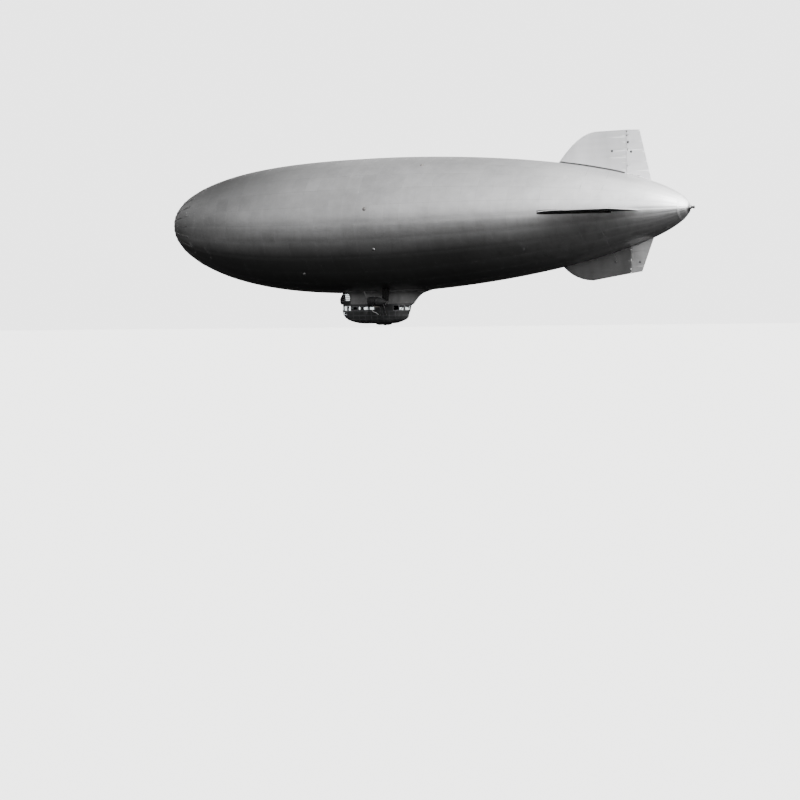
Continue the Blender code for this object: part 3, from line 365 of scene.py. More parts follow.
ribbonTree = makeRibbonTree()
rodTree = makeRodTree()
rowTree = makeRowTree()


def addObject(name, mesh):
    thing = bpy.data.objects.new(name, mesh)
    bpy.context.scene.collection.objects.link(thing)
    return thing


def settle(thing, body, replaced=()):
    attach(thing, body)
    if replaced:
        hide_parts(*replaced)
    return thing


def grow(name, source, tree, values, finish):
    # Runs a tree on a mesh and keeps the result as a plain mesh
    seed = addObject(name + "Seed", source)
    modifier = seed.modifiers.new("build", "NODES")
    modifier.node_group = tree
    values = {**values, "Material": paint[finish]}
    for item in tree.interface.items_tree:
        if item.in_out == "INPUT" and item.name in values:
            modifier[item.identifier] = values[item.name]
    depsgraph = bpy.context.evaluated_depsgraph_get()
    mesh = bpy.data.meshes.new_from_object(seed.evaluated_get(depsgraph), depsgraph=depsgraph)
    bpy.data.objects.remove(seed)
    mesh.name = name
    return addObject(name, mesh)


def pathMesh(name, lines):
    # A line is a list of (place, outward) pairs, and closes where it ends on its first place
    places, edges, outwards = [], [], []
    for line in lines:
        closed = len(line) > 3 and (line[0][0] - line[-1][0]).length < 1e-6
        points = line[:-1] if closed else line
        first = len(places)
        places += [tuple(place) for place, _ in points]
        outwards += [value for _, outward in points for value in outward]
        edges += [(first + k, first + k + 1) for k in range(len(points) - 1)]
        if closed:
            edges.append((len(places) - 1, first))
    mesh = bpy.data.meshes.new(name)
    mesh.from_pydata(places, edges, [])
    layer = mesh.attributes.new("outward", "FLOAT_VECTOR", "POINT")
    layer.data.foreach_set("vector", outwards)
    return mesh


# In the dictionaries below, a ribbon's size is its width and thickness, and a rod's its radius and sides.
# A row's is its spacing, and each part's radius, the top's share of it, height and sides. A cover's is
# its radius, its height, and its rim's width and bolts. Thin tapes lie with their middles tapeLift high.

tapeLift = 0.001


def ribbons(name, lines, body, slot, finish, width, thickness):
    values = {"Width": width, "Thickness": thickness}
    return settle(grow(name, pathMesh(name, lines), ribbonTree, values, finish), body)


def rods(name, lines, body, slot, finish, radius, sides):
    lines = [[(Vector(place), up) for place in line] for line in lines]
    values = {"Radius": radius, "Sides": sides}
    return settle(grow(name, pathMesh(name, lines), rodTree, values, finish), body)


def rows(name, lines, body, slot, finish, spacing, radius, top, height, sides=6):
    values = {"Spacing": spacing, "Radius": radius, "Top Radius": radius * top, "Height": height,
              "Sides": sides}
    return settle(grow(name, pathMesh(name, lines), rowTree, values, finish), body)


def keepDraft(draft, name, finish, sharpAngle=None):
    # Turns a bmesh into an object with smooth shading, sharp at edges past an angle in degrees
    mesh = bpy.data.meshes.new(name)
    draft.to_mesh(mesh)
    draft.free()
    mesh.shade_smooth()
    if sharpAngle:
        mesh.set_sharp_from_angle(angle=math.radians(sharpAngle))
    mesh.materials.append(paint[finish])
    return addObject(name, mesh)


# Places: even steps, turns, and lines laid on the solids by shining them on from outside

def titleOf(name):
    # fin_upper becomes finUpper
    first, *rest = name.split("_")
    return first + "".join(word.capitalize() for word in rest)


def spread(low, high, count):
    return [low + (high - low) * k / (count - 1) for k in range(count)]


def steps(low, high, pitch):
    return [k * pitch for k in range(math.ceil(low / pitch), math.floor(high / pitch) + 1)]


def turnRound(count):
    # Angles once round, with the first one again at the end
    return [2 * math.pi * (k % count) / count for k in range(count + 1)]


def outAt(angle):
    # Square to the airship's long axis, at an angle from the top towards starboard
    return Vector((0, math.sin(angle), math.cos(angle)))


trees = {}


def surfaceOf(name):
    if name not in trees:
        draft = bmesh.new()
        draft.from_mesh((nodes.get(name) or bpy.data.objects[name]).data)
        trees[name] = BVHTree.FromBMesh(draft)
        draft.free()
    return trees[name]


def landOn(name, start, direction, lift=0.0, reach=100.0):
    place, normal, _, _ = surfaceOf(name).ray_cast(Vector(start), Vector(direction), reach)
    if place is None:
        return None
    if normal.dot(Vector(direction)) > 0:
        normal = -normal
    return place + normal * lift, normal


def landAll(name, rays, lift=0.0, reach=100.0):
    # A ray is a (start, direction) pair
    hits = [landOn(name, start, direction, lift, reach) for start, direction in rays]
    return [hit for hit in hits if hit]


def layLine(name, rays, lift=0.0, reach=100.0):
    # The unbroken stretches of a line of rays that land
    hits = [landOn(name, start, direction, lift, reach) for start, direction in rays]
    runs = [list(run) for landed, run in groupby(hits, bool) if landed]
    return [run for run in runs if len(run) > 1]


def layRing(name, centre, count, lift, outer):
    # A closed line of count points round an upright wall, shone on from outer away
    outs = [Vector((math.cos(angle), math.sin(angle), 0)) for angle in turnRound(count)]
    return landAll(name, [(Vector(centre) + out * outer, -out) for out in outs], lift, outer)


def fromAbeam(side, x, z, away=3.0):
    # A ray that comes in level from one side
    return Vector((x, side * away, z)), Vector((0, -side, 0))


# Envelope: 24 long gores of doped cotton that swell a little between their seams

bag = {
    "length": 38.365, "diameter": 8.815, "widest": 0.4213, "nosePower": 2.5692, "tailPower": 1.7674,
    "tailRounding": 0.5656, "sag": 0.4168, "sagSkew": 0.621,
    "gores": 24, "facesPerGore": 8, "rings": 176, "pinch": 0.007, "wall": 0.010,
    "tapeSteps": 120, "tapeInset": 0.02, "tape": (0.045, 0.0024), "tapeLift": 0.0012,
    "panelLength": 1.05, "ringInsets": (0.3, 0.2), "ring": (0.028, 0.001),
}
bagFront, bagRear = [corner.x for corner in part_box("envelope")]


def bagRadius(x):
    along = min(max(x / bag["length"] + 0.5, 0), 1)
    if along < bag["widest"]:
        share = (bag["widest"] - along) / bag["widest"]
        return bag["diameter"] / 2 * math.sqrt(max(0, 1 - share ** bag["nosePower"]))
    share = (along - bag["widest"]) / (1 - bag["widest"])
    return bag["diameter"] / 2 * max(0, 1 - share ** bag["tailPower"]) ** bag["tailRounding"]


def bagAxis(x):
    along = min(max(x / bag["length"] + 0.5, 0), 1)
    return -bag["sag"] * 4 * along * (1 - along) * (1 + bag["sagSkew"] * (1 - 2 * along))


def bagPlace(x, angle, lift=0.0):
    pinch = bag["pinch"] * (1 - abs(math.sin(bag["gores"] * angle / 2))) ** 2
    out, step = outAt(angle), 0.02
    slope = (bagRadius(x + step) - bagRadius(x - step)) / (2 * step)
    normal = (out - Vector((1, 0, 0)) * slope).normalized()
    return Vector((x, 0, bagAxis(x))) + out * (bagRadius(x) - pinch) + normal * lift, normal


def makeBagTree(sizes):
    # The same rule as bagRadius, bagAxis and bagPlace, for every point of a tube
    tree, inputs = startTree("goredBag", sizes)

    def times(first, second):
        return calc(tree, "MULTIPLY", first, second)

    def less(first, second):
        return calc(tree, "SUBTRACT", first, second)

    sockets = {"Vertices": times(inputs["gores"], inputs["facesPerGore"]), "Side Segments": inputs["rings"],
               "Radius": 1.0, "Depth": 2.0}
    tube = addNode(tree, "GeometryNodeMeshCylinder", sockets, fill_type="NONE")
    where = addNode(tree, "GeometryNodeInputPosition").outputs[0]
    across, high, along = addNode(tree, "ShaderNodeSeparateXYZ", {0: where}).outputs
    share = calc(tree, "MULTIPLY_ADD", along, 0.5, 0.5)
    eased = calc(tree, "MULTIPLY_ADD", calc(tree, "COSINE", times(share, math.pi)), -0.5, 0.5)
    x = calc(tree, "MULTIPLY_ADD", eased, less(inputs["rear"], inputs["front"]), inputs["front"])
    along = calc(tree, "ADD", calc(tree, "DIVIDE", x, inputs["length"]), 0.5)
    ahead = less(inputs["widest"], along)
    noseShare = calc(tree, "MAXIMUM", calc(tree, "DIVIDE", ahead, inputs["widest"]), 0.0)
    noseCurve = less(1.0, calc(tree, "POWER", noseShare, inputs["nosePower"]))
    noseRadius = calc(tree, "SQRT", calc(tree, "MAXIMUM", noseCurve, 0.0))
    behind = calc(tree, "DIVIDE", times(ahead, -1.0), less(1.0, inputs["widest"]))
    tailCurve = less(1.0, calc(tree, "POWER", calc(tree, "MAXIMUM", behind, 0.0), inputs["tailPower"]))
    tailRadius = calc(tree, "POWER", calc(tree, "MAXIMUM", tailCurve, 0.0), inputs["tailRounding"])
    wave = calc(tree, "SINE", times(times(calc(tree, "ARCTAN2", across, high), inputs["gores"]), 0.5))
    seam = calc(tree, "POWER", less(1.0, calc(tree, "ABSOLUTE", wave)), 2.0)
    radius = less(times(times(noseRadius, tailRadius), times(inputs["diameter"], 0.5)),
                  times(seam, inputs["pinch"]))
    bow = times(times(along, less(1.0, along)), -4.0)
    skew = calc(tree, "MULTIPLY_ADD", less(1.0, times(along, 2.0)), inputs["sagSkew"], 1.0)
    axis = times(times(bow, skew), inputs["sag"])
    z = calc(tree, "MULTIPLY_ADD", high, radius, axis)
    spot = addNode(tree, "ShaderNodeCombineXYZ", {0: x, 1: times(across, radius), 2: z}).outputs[0]
    mark = addNode(tree, "ShaderNodeCombineXYZ", {0: x, 1: across, 2: high}).outputs[0]
    marked = addNode(tree, "GeometryNodeStoreNamedAttribute",
                     {"Geometry": tube.outputs[0], "Name": "goreMark"},
                     data_type="FLOAT_VECTOR", domain="POINT")
    tree.links.new(mark, marked.inputs["Value"])
    shaped = addNode(tree, "GeometryNodeSetPosition", {"Geometry": marked.outputs[0], "Position": spot})
    return endTree(tree, shaped.outputs[0], inputs["Material"])


# Each noise has its stretch, scale, detail, roughness and distortion
dope = {
    "dark": (0.44, 0.44, 0.445), "light": (0.64, 0.64, 0.645), "grime": (0.22, 0.215, 0.21),
    "roughness": (0.285, 0.37), "metallic": 0.9, "noiseRange": (0.3, 0.7),
    "panelTone": 0.25, "cloudTone": 0.45, "blotchTone": 0.45,
    "streakRange": (0.52, 0.75), "streakFacing": (0.2, -0.9), "streakMost": 0.5,
    "rippleBump": (0.45, 0.02), "grainBump": (0.12, 0.001),
    "cloud": ((0.5, 1, 1), 0.45, 6.0, 0.6), "blotch": ((1, 1, 1), 1.5, 5.0, 0.65),
    "streak": ((1, 1, 0.12), 2.6, 5.0, 0.6), "grain": ((1, 1, 1), 38.0, 2.0, 0.5, 2.0),
    "ripple": ((0.6, 1, 1), 1.6, 3.0, 0.5),
}


def makeDope():
    # Every panel of a gore has a tone of its own, under clouds, blotches and streaks
    material, tree, shader = startMaterial("silverDope")
    mark = addNode(tree, "ShaderNodeAttribute", attribute_name="goreMark").outputs["Vector"]
    x, across, high = addNode(tree, "ShaderNodeSeparateXYZ", {0: mark}).outputs
    turns = calc(tree, "MULTIPLY", calc(tree, "ARCTAN2", across, high), bag["gores"] / (2 * math.pi))
    panel = calc(tree, "FLOOR", calc(tree, "DIVIDE", x, bag["panelLength"]))
    cell = addNode(tree, "ShaderNodeCombineXYZ", {0: calc(tree, "FLOOR", turns), 1: panel}).outputs[0]
    tone = addNode(tree, "ShaderNodeTexWhiteNoise", {"Vector": cell}, noise_dimensions="3D").outputs[0]
    cloud, blotch, streak, grain, ripple = [
        noiseAt(tree, objectPlace(tree, dope[key][0]), *dope[key][1:])
        for key in ("cloud", "blotch", "streak", "grain", "ripple")]
    low, most = dope["noiseRange"]
    share = calc(tree, "MULTIPLY_ADD", tone, dope["panelTone"],
                 remap(tree, cloud, low, most, 0.0, dope["cloudTone"]))
    share = calc(tree, "ADD", share, remap(tree, blotch, low, most, 0.0, dope["blotchTone"]))
    colour = mixColours(tree, share, dope["dark"], dope["light"])
    dirty = calc(tree, "MULTIPLY", remap(tree, streak, *dope["streakRange"]),
                 remap(tree, high, *dope["streakFacing"], 0.0, dope["streakMost"]))
    colour = mixColours(tree, dirty, colour, dope["grime"])
    # The bag's painted shade and highlight go over the panel tones and dirt streaks
    tree.links.new(shadeBag(tree, colour), shader.inputs["Base Color"])
    tree.links.new(remap(tree, cloud, low, most, *dope["roughness"]), shader.inputs["Roughness"])
    shader.inputs["Metallic"].default_value = dope["metallic"]
    soft = bumpFrom(tree, ripple, *dope["rippleBump"])
    tree.links.new(bumpFrom(tree, grain, *dope["grainBump"], soft), shader.inputs["Normal"])
    return material


def makeEnvelope():
    paint["silverDope"] = makeDope()
    shape = ("length", "diameter", "widest", "nosePower", "tailPower", "tailRounding", "sag", "sagSkew",
             "gores", "facesPerGore", "rings", "pinch")
    sizes = {**{key: bag[key] for key in shape}, "front": bagFront, "rear": bagRear}
    skin = grow("envelopeSkin", bpy.data.meshes.new("start"), makeBagTree(sizes), sizes, "silverDope")
    wall = skin.modifiers.new("wall", "SOLIDIFY")
    wall.thickness = bag["wall"]
    wall.offset = -1
    return settle(skin, "root", ["envelope"])


def bagTapes():
    # Long tapes over the gore seams, and rings of tape over the seams between panels
    lift, count = bag["tapeLift"], bag["tapeSteps"]
    xs = [-bag["length"] / 2 * math.cos(math.pi * k / count) for k in range(count + 1)]
    xs = [x for x in xs if bagFront + bag["tapeInset"] < x < bagRear - bag["tapeInset"]]
    long = [[bagPlace(x, angle, lift) for x in xs] for angle in turnRound(bag["gores"])[:-1]]
    ribbons("goreTapes", long, "root", "silver_dope", "tapeCloth", *bag["tape"])
    front, rear = bag["ringInsets"]
    angles = turnRound(bag["gores"] * bag["facesPerGore"])
    around = [[bagPlace(x, angle, lift) for angle in angles]
              for x in steps(bagFront + front, bagRear - rear, bag["panelLength"])]
    ribbons("panelTapes", around, "root", "silver_dope", "tapeCloth", *bag["ring"])


makeEnvelope()
bagTapes()
print("envelope made")


# A solid as one smooth mesh: cut into strips, with its points moved by a rule, where cloth stretches over it

def workedCopy(name, node, body, finish, cuts=(), shift=None):
    draft = bmesh.new()
    draft.from_mesh(nodes[node].data)
    bmesh.ops.remove_doubles(draft, verts=draft.verts, dist=1e-5)
    for axis, places in cuts:
        normal = Vector([float(index == axis) for index in range(3)])
        for place in places:
            geometry = draft.verts[:] + draft.edges[:] + draft.faces[:]
            bmesh.ops.bisect_plane(draft, geom=geometry, plane_co=normal * place, plane_no=normal)
    draft.normal_update()
    if shift:
        for point, move in [(point, shift(point.co, point.normal)) for point in draft.verts]:
            point.co += move
    return settle(keepDraft(draft, name, finish, 35), body, [node])


# Fins, rudders and elevators: cloth that sags between ribs, with a tape over each rib.
# Each surface has its body, the axis that it spans and its cloth.

surfaces = {
    "fin_upper": ("root", 2, "finCloth"), "fin_lower": ("root", 2, "keelCloth"),
    "fin_port": ("root", 1, "finCloth"), "fin_starboard": ("root", 1, "finCloth"),
    "rudder_upper": ("rudder_upper", 2, "rudderCloth"), "rudder_lower": ("rudder_lower", 2, "keelRudder"),
    "elevator_port": ("elevator_port", 1, "rudderCloth"),
    "elevator_starboard": ("elevator_starboard", 1, "rudderCloth"),
}
finLook = {
    "level": -0.14, "ribSpacing": 0.42, "sag": 0.006, "thinnest": 0.012, "edge": 0.01, "sparInset": 0.16,
    "tape": (0.030, 0.002), "raysFrom": 0.5, "rayReach": 0.6,
}


def finPlane(name):
    # The axis that a fin is thin along, and where its middle lies on it
    span = surfaces[name][1]
    return 3 - span, 0.0 if span == 2 else finLook["level"]


def faceRay(name, face, x, out):
    # A ray that comes in square to one face of a fin
    thick, middle = finPlane(name)
    start, direction = Vector((x, 0, 0)), Vector((0, 0, 0))
    start[3 - thick], start[thick], direction[thick] = out, middle + face * finLook["raysFrom"], -face
    return start, direction


def coverFin(name):
    body, span, cloth = surfaces[name]
    thick, middle = finPlane(name)
    low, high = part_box(name)

    def sagBetweenRibs(place, normal):
        dip = 0.5 - 0.5 * math.cos(2 * math.pi * place[span] / finLook["ribSpacing"])
        out = place[thick] - middle
        share = min(1, max(0, (abs(out) - finLook["thinnest"]) / finLook["thinnest"]))
        move = Vector((0, 0, 0))
        move[thick] = -math.copysign(finLook["sag"] * dip * share, out)
        return move

    cuts = [(span, steps(low[span], high[span], finLook["ribSpacing"] / 4))]
    workedCopy(titleOf(name) + "Cloth", name, body, cloth, cuts, sagBetweenRibs)
    edge = finLook["edge"]
    sparX = high.x - finLook["sparInset"] if body == "root" else low.x + finLook["sparInset"]
    paths = [[(x, rib) for x in spread(low.x + edge, high.x - edge, 40)]
             for rib in steps(low[span], high[span], finLook["ribSpacing"])]
    paths.append([(sparX, out) for out in spread(low[span] + edge, high[span] - edge, 30)])
    lines = []
    for face in (-1.0, 1.0):
        for path in paths:
            rays = [faceRay(name, face, x, out) for x, out in path]
            lines += layLine(name, rays, tapeLift, finLook["rayReach"])
    ribbons(titleOf(name) + "Tapes", lines, body, "fin_fabric", cloth, *finLook["tape"])


# Each fin's angle round the bag in degrees, and which way along its axis it grows
finRoots = {"fin_upper": (0, 1.0), "fin_starboard": (90, 1.0), "fin_lower": (180, -1.0),
            "fin_port": (-90, -1.0)}
rootTape = {"front": 0.02, "rear": 0.20, "rise": 0.05, "gap": 0.045, "bareGap": 0.02, "lift": 0.004,
            "footLift": 0.003, "tape": (0.085, 0.004), "lacing": (0.12, 0.010, 0.7, 0.006, 8)}
hingeCover = {"inset": 0.075, "ends": 0.1, "lift": 0.004, "row": (0.30, 0.046, 0.8, 0.012, 12)}


def lapFin(name):
    # A laced tape on the bag along each side of a fin's root, a dark tape on the fin's face just above the
    # root, and a line of hinge covers at its rear edge
    span = surfaces[name][1]
    thick, middle = finPlane(name)
    degrees, sign = finRoots[name]
    level = math.radians(degrees)
    low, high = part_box(name)
    laps, hinges = [], []
    for face in (-1.0, 1.0):
        lap, foot = [], []
        for x in spread(low.x + rootTape["front"], high.x - rootTape["rear"], 40):
            out = bagPlace(x, level)[0][span] + sign * rootTape["rise"]
            hit = landOn(name, *faceRay(name, face, x, out), 0.0, finLook["rayReach"])
            half = abs(hit[0][thick] - middle) if hit else rootTape["bareGap"]
            aside = face * (rootTape["gap"] + half)
            if span == 1:
                angle = sign * math.acos((middle + aside - bagAxis(x)) / bagRadius(x))
            else:
                angle = level + sign * math.asin(aside / bagRadius(x))
            lap.append(bagPlace(x, angle, rootTape["lift"]))
            # The tape on the fin's foot is partly a real tape and partly painted shade along the root
            if hit:
                foot.append((hit[0] + hit[1] * rootTape["footLift"], hit[1]))
        laps += [lap, foot]
        outs = spread(low[span] + hingeCover["ends"], high[span] - hingeCover["ends"], 40)
        rays = [faceRay(name, face, high.x - hingeCover["inset"], out) for out in outs]
        hinges += layLine(name, rays, hingeCover["lift"], finLook["rayReach"])
    title = titleOf(name)
    ribbons(title + "RootTapes", laps, "root", "fin_fabric", "rootCloth", *rootTape["tape"])
    rows(title + "Lacing", laps, "root", "steel", "steel", *rootTape["lacing"])
    finish = "railPaint" if name == "fin_lower" else "rootCloth"
    rows(title + "HingeCovers", hinges, "root", "silver_paint", finish, *hingeCover["row"])


for surfaceName in surfaces:
    coverFin(surfaceName)
for finName in finRoots:
    lapFin(finName)
print("fins covered")


# Wires that brace each fin to the bag, each with a fan of tapes where it is sewn on.
# tips gives each fin's reach from the axis, by its angle from the top in degrees.

bracing = {
    "tips": {0: 4.90, 90: 4.7625, 180: 3.92, 270: 4.7625}, "xs": (11.7, 12.95, 14.3),
    "outs": (0.62, 0.78, 0.80), "away": 38, "lift": 0.004, "aside": 0.03, "wire": (0.005, 6),
    "turnbuckle": (0.013, 8), "turnbuckleEnds": (0.10, 0.26), "patch": (0.075, 0.003), "patchLift": 0.003,
}


def fanPatch(x, angle, heading, length=0.40, fingers=3, opening=0.7):
    # Strips that spread over the bag from one point. heading turns from the nose towards larger angles.
    lines = []
    for share in spread(-0.5, 0.5, fingers):
        turned = heading + opening * share
        lines.append([bagPlace(x - step * math.cos(turned), angle + step * math.sin(turned) / bagRadius(x),
                               bracing["patchLift"]) for step in spread(0.0, length, 6)])
    return lines


def braceFins():
    wires, barrels, patches = [], [], []
    for degrees, tip in bracing["tips"].items():
        turn = math.radians(degrees)
        level = finLook["level"] if degrees in (90, 270) else 0.0
        for x, share in zip(bracing["xs"], bracing["outs"]):
            for side in (-1, 1):
                angle = turn + side * math.radians(bracing["away"])
                low = bagPlace(x, angle, bracing["lift"])[0]
                across = Vector((0, math.cos(turn), -math.sin(turn))) * side
                high = Vector((x, 0, level)) + outAt(turn) * tip * share + across * bracing["aside"]
                along = (high - low).normalized()
                wires.append([low, high])
                barrels.append([low + along * end for end in bracing["turnbuckleEnds"]])
                patches += fanPatch(x, angle, math.pi - side * math.pi / 2)
    rods("finWires", wires, "root", "steel", "steel", *bracing["wire"])
    rods("turnbuckles", barrels, "root", "steel", "steel", *bracing["turnbuckle"])
    ribbons("finWirePatches", patches, "root", "silver_dope", "tapeCloth", *bracing["patch"])


braceFins()


# Domed covers with a bolted rim: valves on the bag and caps elsewhere. Shares are of the rim's width.

bonnetShape = {"rimHeight": 0.4, "boltCircle": 0.5, "boltTop": 0.18, "boltFoot": 0.22, "boltHeight": 0.45}


def makeBonnetTree():
    tree, inputs = startTree("bonnets", {"Radius": 0.12, "Height": 0.05, "Rim": 0.03, "Bolts": 12})
    rimShare = {key: calc(tree, "MULTIPLY", inputs["Rim"], share) for key, share in bonnetShape.items()}
    dome = addNode(tree, "GeometryNodeMeshUVSphere", {"Segments": 24, "Rings": 12, "Radius": 1.0})
    radius, height = inputs["Radius"], inputs["Height"]
    size = addNode(tree, "ShaderNodeCombineXYZ", {0: radius, 1: radius, 2: height})
    shaped = addNode(tree, "GeometryNodeTransform", {"Geometry": dome.outputs[0], "Scale": size.outputs[0]})
    outer = calc(tree, "ADD", radius, inputs["Rim"])
    rim = addNode(tree, "GeometryNodeMeshCylinder",
                  {"Vertices": 32, "Radius": outer, "Depth": rimShare["rimHeight"]})
    boltCircle = calc(tree, "ADD", rimShare["boltCircle"], radius)
    circle = addNode(tree, "GeometryNodeMeshCircle", {"Vertices": inputs["Bolts"], "Radius": boltCircle})
    head = addNode(tree, "GeometryNodeMeshCone",
                   {"Vertices": 6, "Radius Top": rimShare["boltTop"], "Radius Bottom": rimShare["boltFoot"],
                    "Depth": rimShare["boltHeight"]})
    bolts = copiesAt(tree, circle.outputs[0], head.outputs[0])
    whole = joinParts(tree, (shaped.outputs[0], rim.outputs[0], bolts))
    return endTree(tree, copiesAt(tree, inputs["Geometry"], whole, turnOutward(tree)), inputs["Material"])


bonnetTree = makeBonnetTree()


def bonnets(name, spots, body, slot, finish, radius, height, rim, bolts=12):
    values = {"Radius": radius, "Height": height, "Rim": rim, "Bolts": bolts}
    made = grow(name, pathMesh(name, [[spot] for spot in spots]), bonnetTree, values, finish)
    made.data.set_sharp_from_angle(angle=math.radians(40))
    return settle(made, body)


# Covers where the photograph shows dark and light dots, as (x, degrees from the top), on both sides
bagSpots = {
    "valveCovers": ("engineIron", "steel", 0.10, ((1.69, -32.4), (-1.43, -78.7))),
    "inspectionCovers": ("tapeCloth", "silver_paint", 0.085, ((-0.92, -113.1), (-6.85, -136.2))),
}
coverShares = {"height": 0.35, "rim": 0.3}
handling = {"xs": (-16.2, -14.6, 9.2), "angle": 128, "ring": 0.045, "ringLift": 0.012, "cord": (0.008, 8),
            "patch": (0.06, 0.003), "fan": {"length": 0.8, "fingers": 5, "opening": 0.9}}


def fitBag():
    for name, (finish, slot, radius, places) in bagSpots.items():
        spots = [bagPlace(x, side * math.radians(degrees)) for x, degrees in places for side in (-1, 1)]
        bonnets(name, spots, "root", slot, finish, radius, radius * coverShares["height"],
                radius * coverShares["rim"])
    patches, hoops = [], []
    for x in handling["xs"]:
        for side in (-1, 1):
            angle = side * math.radians(handling["angle"])
            patches += fanPatch(x, angle, -side * math.pi / 2, **handling["fan"])
            place, normal = bagPlace(x, angle, handling["ringLift"])
            along = Vector((1, 0, 0)).cross(normal)
            hoops.append([place + (Vector((math.cos(t), 0, 0)) + along * math.sin(t)) * handling["ring"]
                          for t in turnRound(16)])
    ribbons("handlingPatches", patches, "root", "silver_dope", "tapeCloth", *handling["patch"])
    rods("handlingRings", hoops, "root", "steel", "steel", *handling["cord"])


fitBag()


batten = {"ends": (-19.08, -16.5), "count": 24, "strip": (0.075, 0.022), "lift": 0.0088,
          "rivets": (0.09, 0.008, 0.6, 0.006), "rivetLift": 0.0208}
tailCap = {"xs": (18.68, 18.95), "rivets": (0.06, 0.007, 0.6, 0.006), "lift": 0.001}
coneRays = {"from": 0.4, "reach": 0.6}


def fastenCones():
    # Riveted battens down the gores of the nose, over the bag or the cone, whichever is higher
    lines, heads = [], []
    for angle in turnRound(batten["count"])[:-1]:
        line, head = [], []
        for x in spread(*batten["ends"], 60):
            place, normal = bagPlace(x, angle)
            hit = landOn("nose_cone", place + normal * coneRays["from"], -normal, 0.0, coneRays["reach"])
            rise = max((hit[0] - place).dot(normal), 0.0) if hit else 0.0
            line.append((place + normal * (rise + batten["lift"]), normal))
            head.append((place + normal * (rise + batten["rivetLift"]), normal))
        lines.append(line)
        heads.append(head)
    ribbons("noseBattens", lines, "root", "silver_paint", "rootCloth", *batten["strip"])
    rows("battenRivets", heads, "root", "silver_paint", "steel", *batten["rivets"])
    # Rings of rivets round the tail's cap
    rings = []
    for x in tailCap["xs"]:
        starts = [bagPlace(x, angle, coneRays["from"]) for angle in turnRound(72)]
        rays = [(place, -normal) for place, normal in starts]
        rings.append(landAll("tail_cone", rays, tailCap["lift"], coneRays["reach"]))
    rows("tailRivets", rings, "root", "silver_paint", "steel", *tailCap["rivets"])


fastenCones()
print("bag fitted")


# Curtain: the cloth that joins the car to the bag, laced at its hem, with a tape over each seam

curtain = {
    "strip": 0.10, "seam": 0.60, "crease": 0.35, "bulge": 0.010, "swell": 0.65, "drape": 0.35, "draw": 0.2,
    "tape": (0.035, 0.002), "tapeEnds": (0.15, 0.9), "tapeInset": 0.02, "away": 2,
    "hems": (0.035, 0.10), "hemEnds": (0.05, 0.5), "eyelets": (0.11, 0.009, 0.7, 0.004, 10),
    "eyeletLift": 0.002,
}


def billow(place, normal):
    swell = abs(math.sin(math.pi * place.x / curtain["seam"])) ** 0.7
    drape = math.sin(2 * math.pi * (place.x / curtain["crease"] + 0.25 * math.sin(5 * place.z)))
    flat = Vector((normal.x, normal.y, 0))
    return flat * curtain["bulge"] * (curtain["swell"] * swell + curtain["drape"] * drape - curtain["draw"])


def hangCurtain():
    low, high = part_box("car_fairing")
    cuts = [(axis, steps(low[axis], high[axis], curtain["strip"])) for axis in (0, 2)]
    workedCopy("curtainCloth", "car_fairing", "root", "curtainCloth", cuts, billow)
    (front, rear), (hemFront, hemRear), inset = curtain["tapeEnds"], curtain["hemEnds"], curtain["tapeInset"]
    tapes, eyelets = [], []
    for side in bothSides.values():
        for x in steps(low.x + front, high.x - rear, curtain["seam"]):
            rays = [fromAbeam(side, x, z, curtain["away"])
                    for z in spread(low.z + inset, high.z - inset, 14)]
            tapes += layLine("curtainCloth", rays, tapeLift)
        for rise in curtain["hems"]:
            xs = spread(low.x + hemFront, high.x - hemRear, 90)
            rays = [fromAbeam(side, x, low.z + rise, curtain["away"]) for x in xs]
            eyelets += layLine("curtainCloth", rays, curtain["eyeletLift"])
    ribbons("curtainTapes", tapes, "root", "fairing_fabric", "curtainCloth", *curtain["tape"])
    rows("curtainEyelets", eyelets, "root", "steel", "steel", *curtain["eyelets"])


hangCurtain()
print("curtain hung")


# Car: frames round the windows, seams with rivets, rails, a step and the door's handle

car = {
    "paneHeights": (-6.00, -5.67), "crewHeights": (-5.955, -5.735), "chinHeights": (-6.27, -6.06),
    "turretHeights": (-5.34, -4.88), "turretBars": (-5.23, -5.11, -4.99), "bar": (0.034, 0.006),
    "pilotPanes": ((-5.35, -5.06), (-5.025, -4.775)),
    "crewPanes": [(-4.70 + 0.4635 * k, -4.2765 + 0.4635 * k) for k in range(4)],
    "rearPanes": {"port": (-1.50, -1.14), "starboard": (-1.43, -1.14)}, "chinPane": (-5.47, -5.12),
    "turretPanes": ((-5.80, -5.475), (-5.436, -5.058)), "screenPanes": ((0.02, 0.32), (0.36, 0.60)),
    "chinFront": (0.02, 0.26), "sternPanes": ((0.02, 0.403), (0.45, 0.611)), "doorPane": (-1.885, -1.56),
    "frameMargin": 0.007, "frame": (0.056, 0.004), "bolts": (0.045, 0.003, 0.7, 0.0104),
    "middle": -3.2, "seamHeights": (-6.05, -6.32, -6.56), "seamRing": (320, 0.003, 6.0),
    "seamPitch": 0.46, "seamEnds": (-5.1, -1.0),
    "seamReach": (-6.82, -6.07), "doorGap": (-2.0, -1.42), "seam": (0.022, 0.002),
    "rivets": (0.042, 0.0035, 0.6, 0.006),
}


def wallLine(node, facing, ends):
    rays = []
    for share in spread(0, 1, 6):
        u, z = (first + (last - first) * share for first, last in zip(*ends))
        start = Vector((u, facing.y * 3, z)) if facing.y else Vector((facing.x * 9, u, z))
        rays.append((start, -facing))
    return landAll(node, rays, car["frame"][1] / 2)


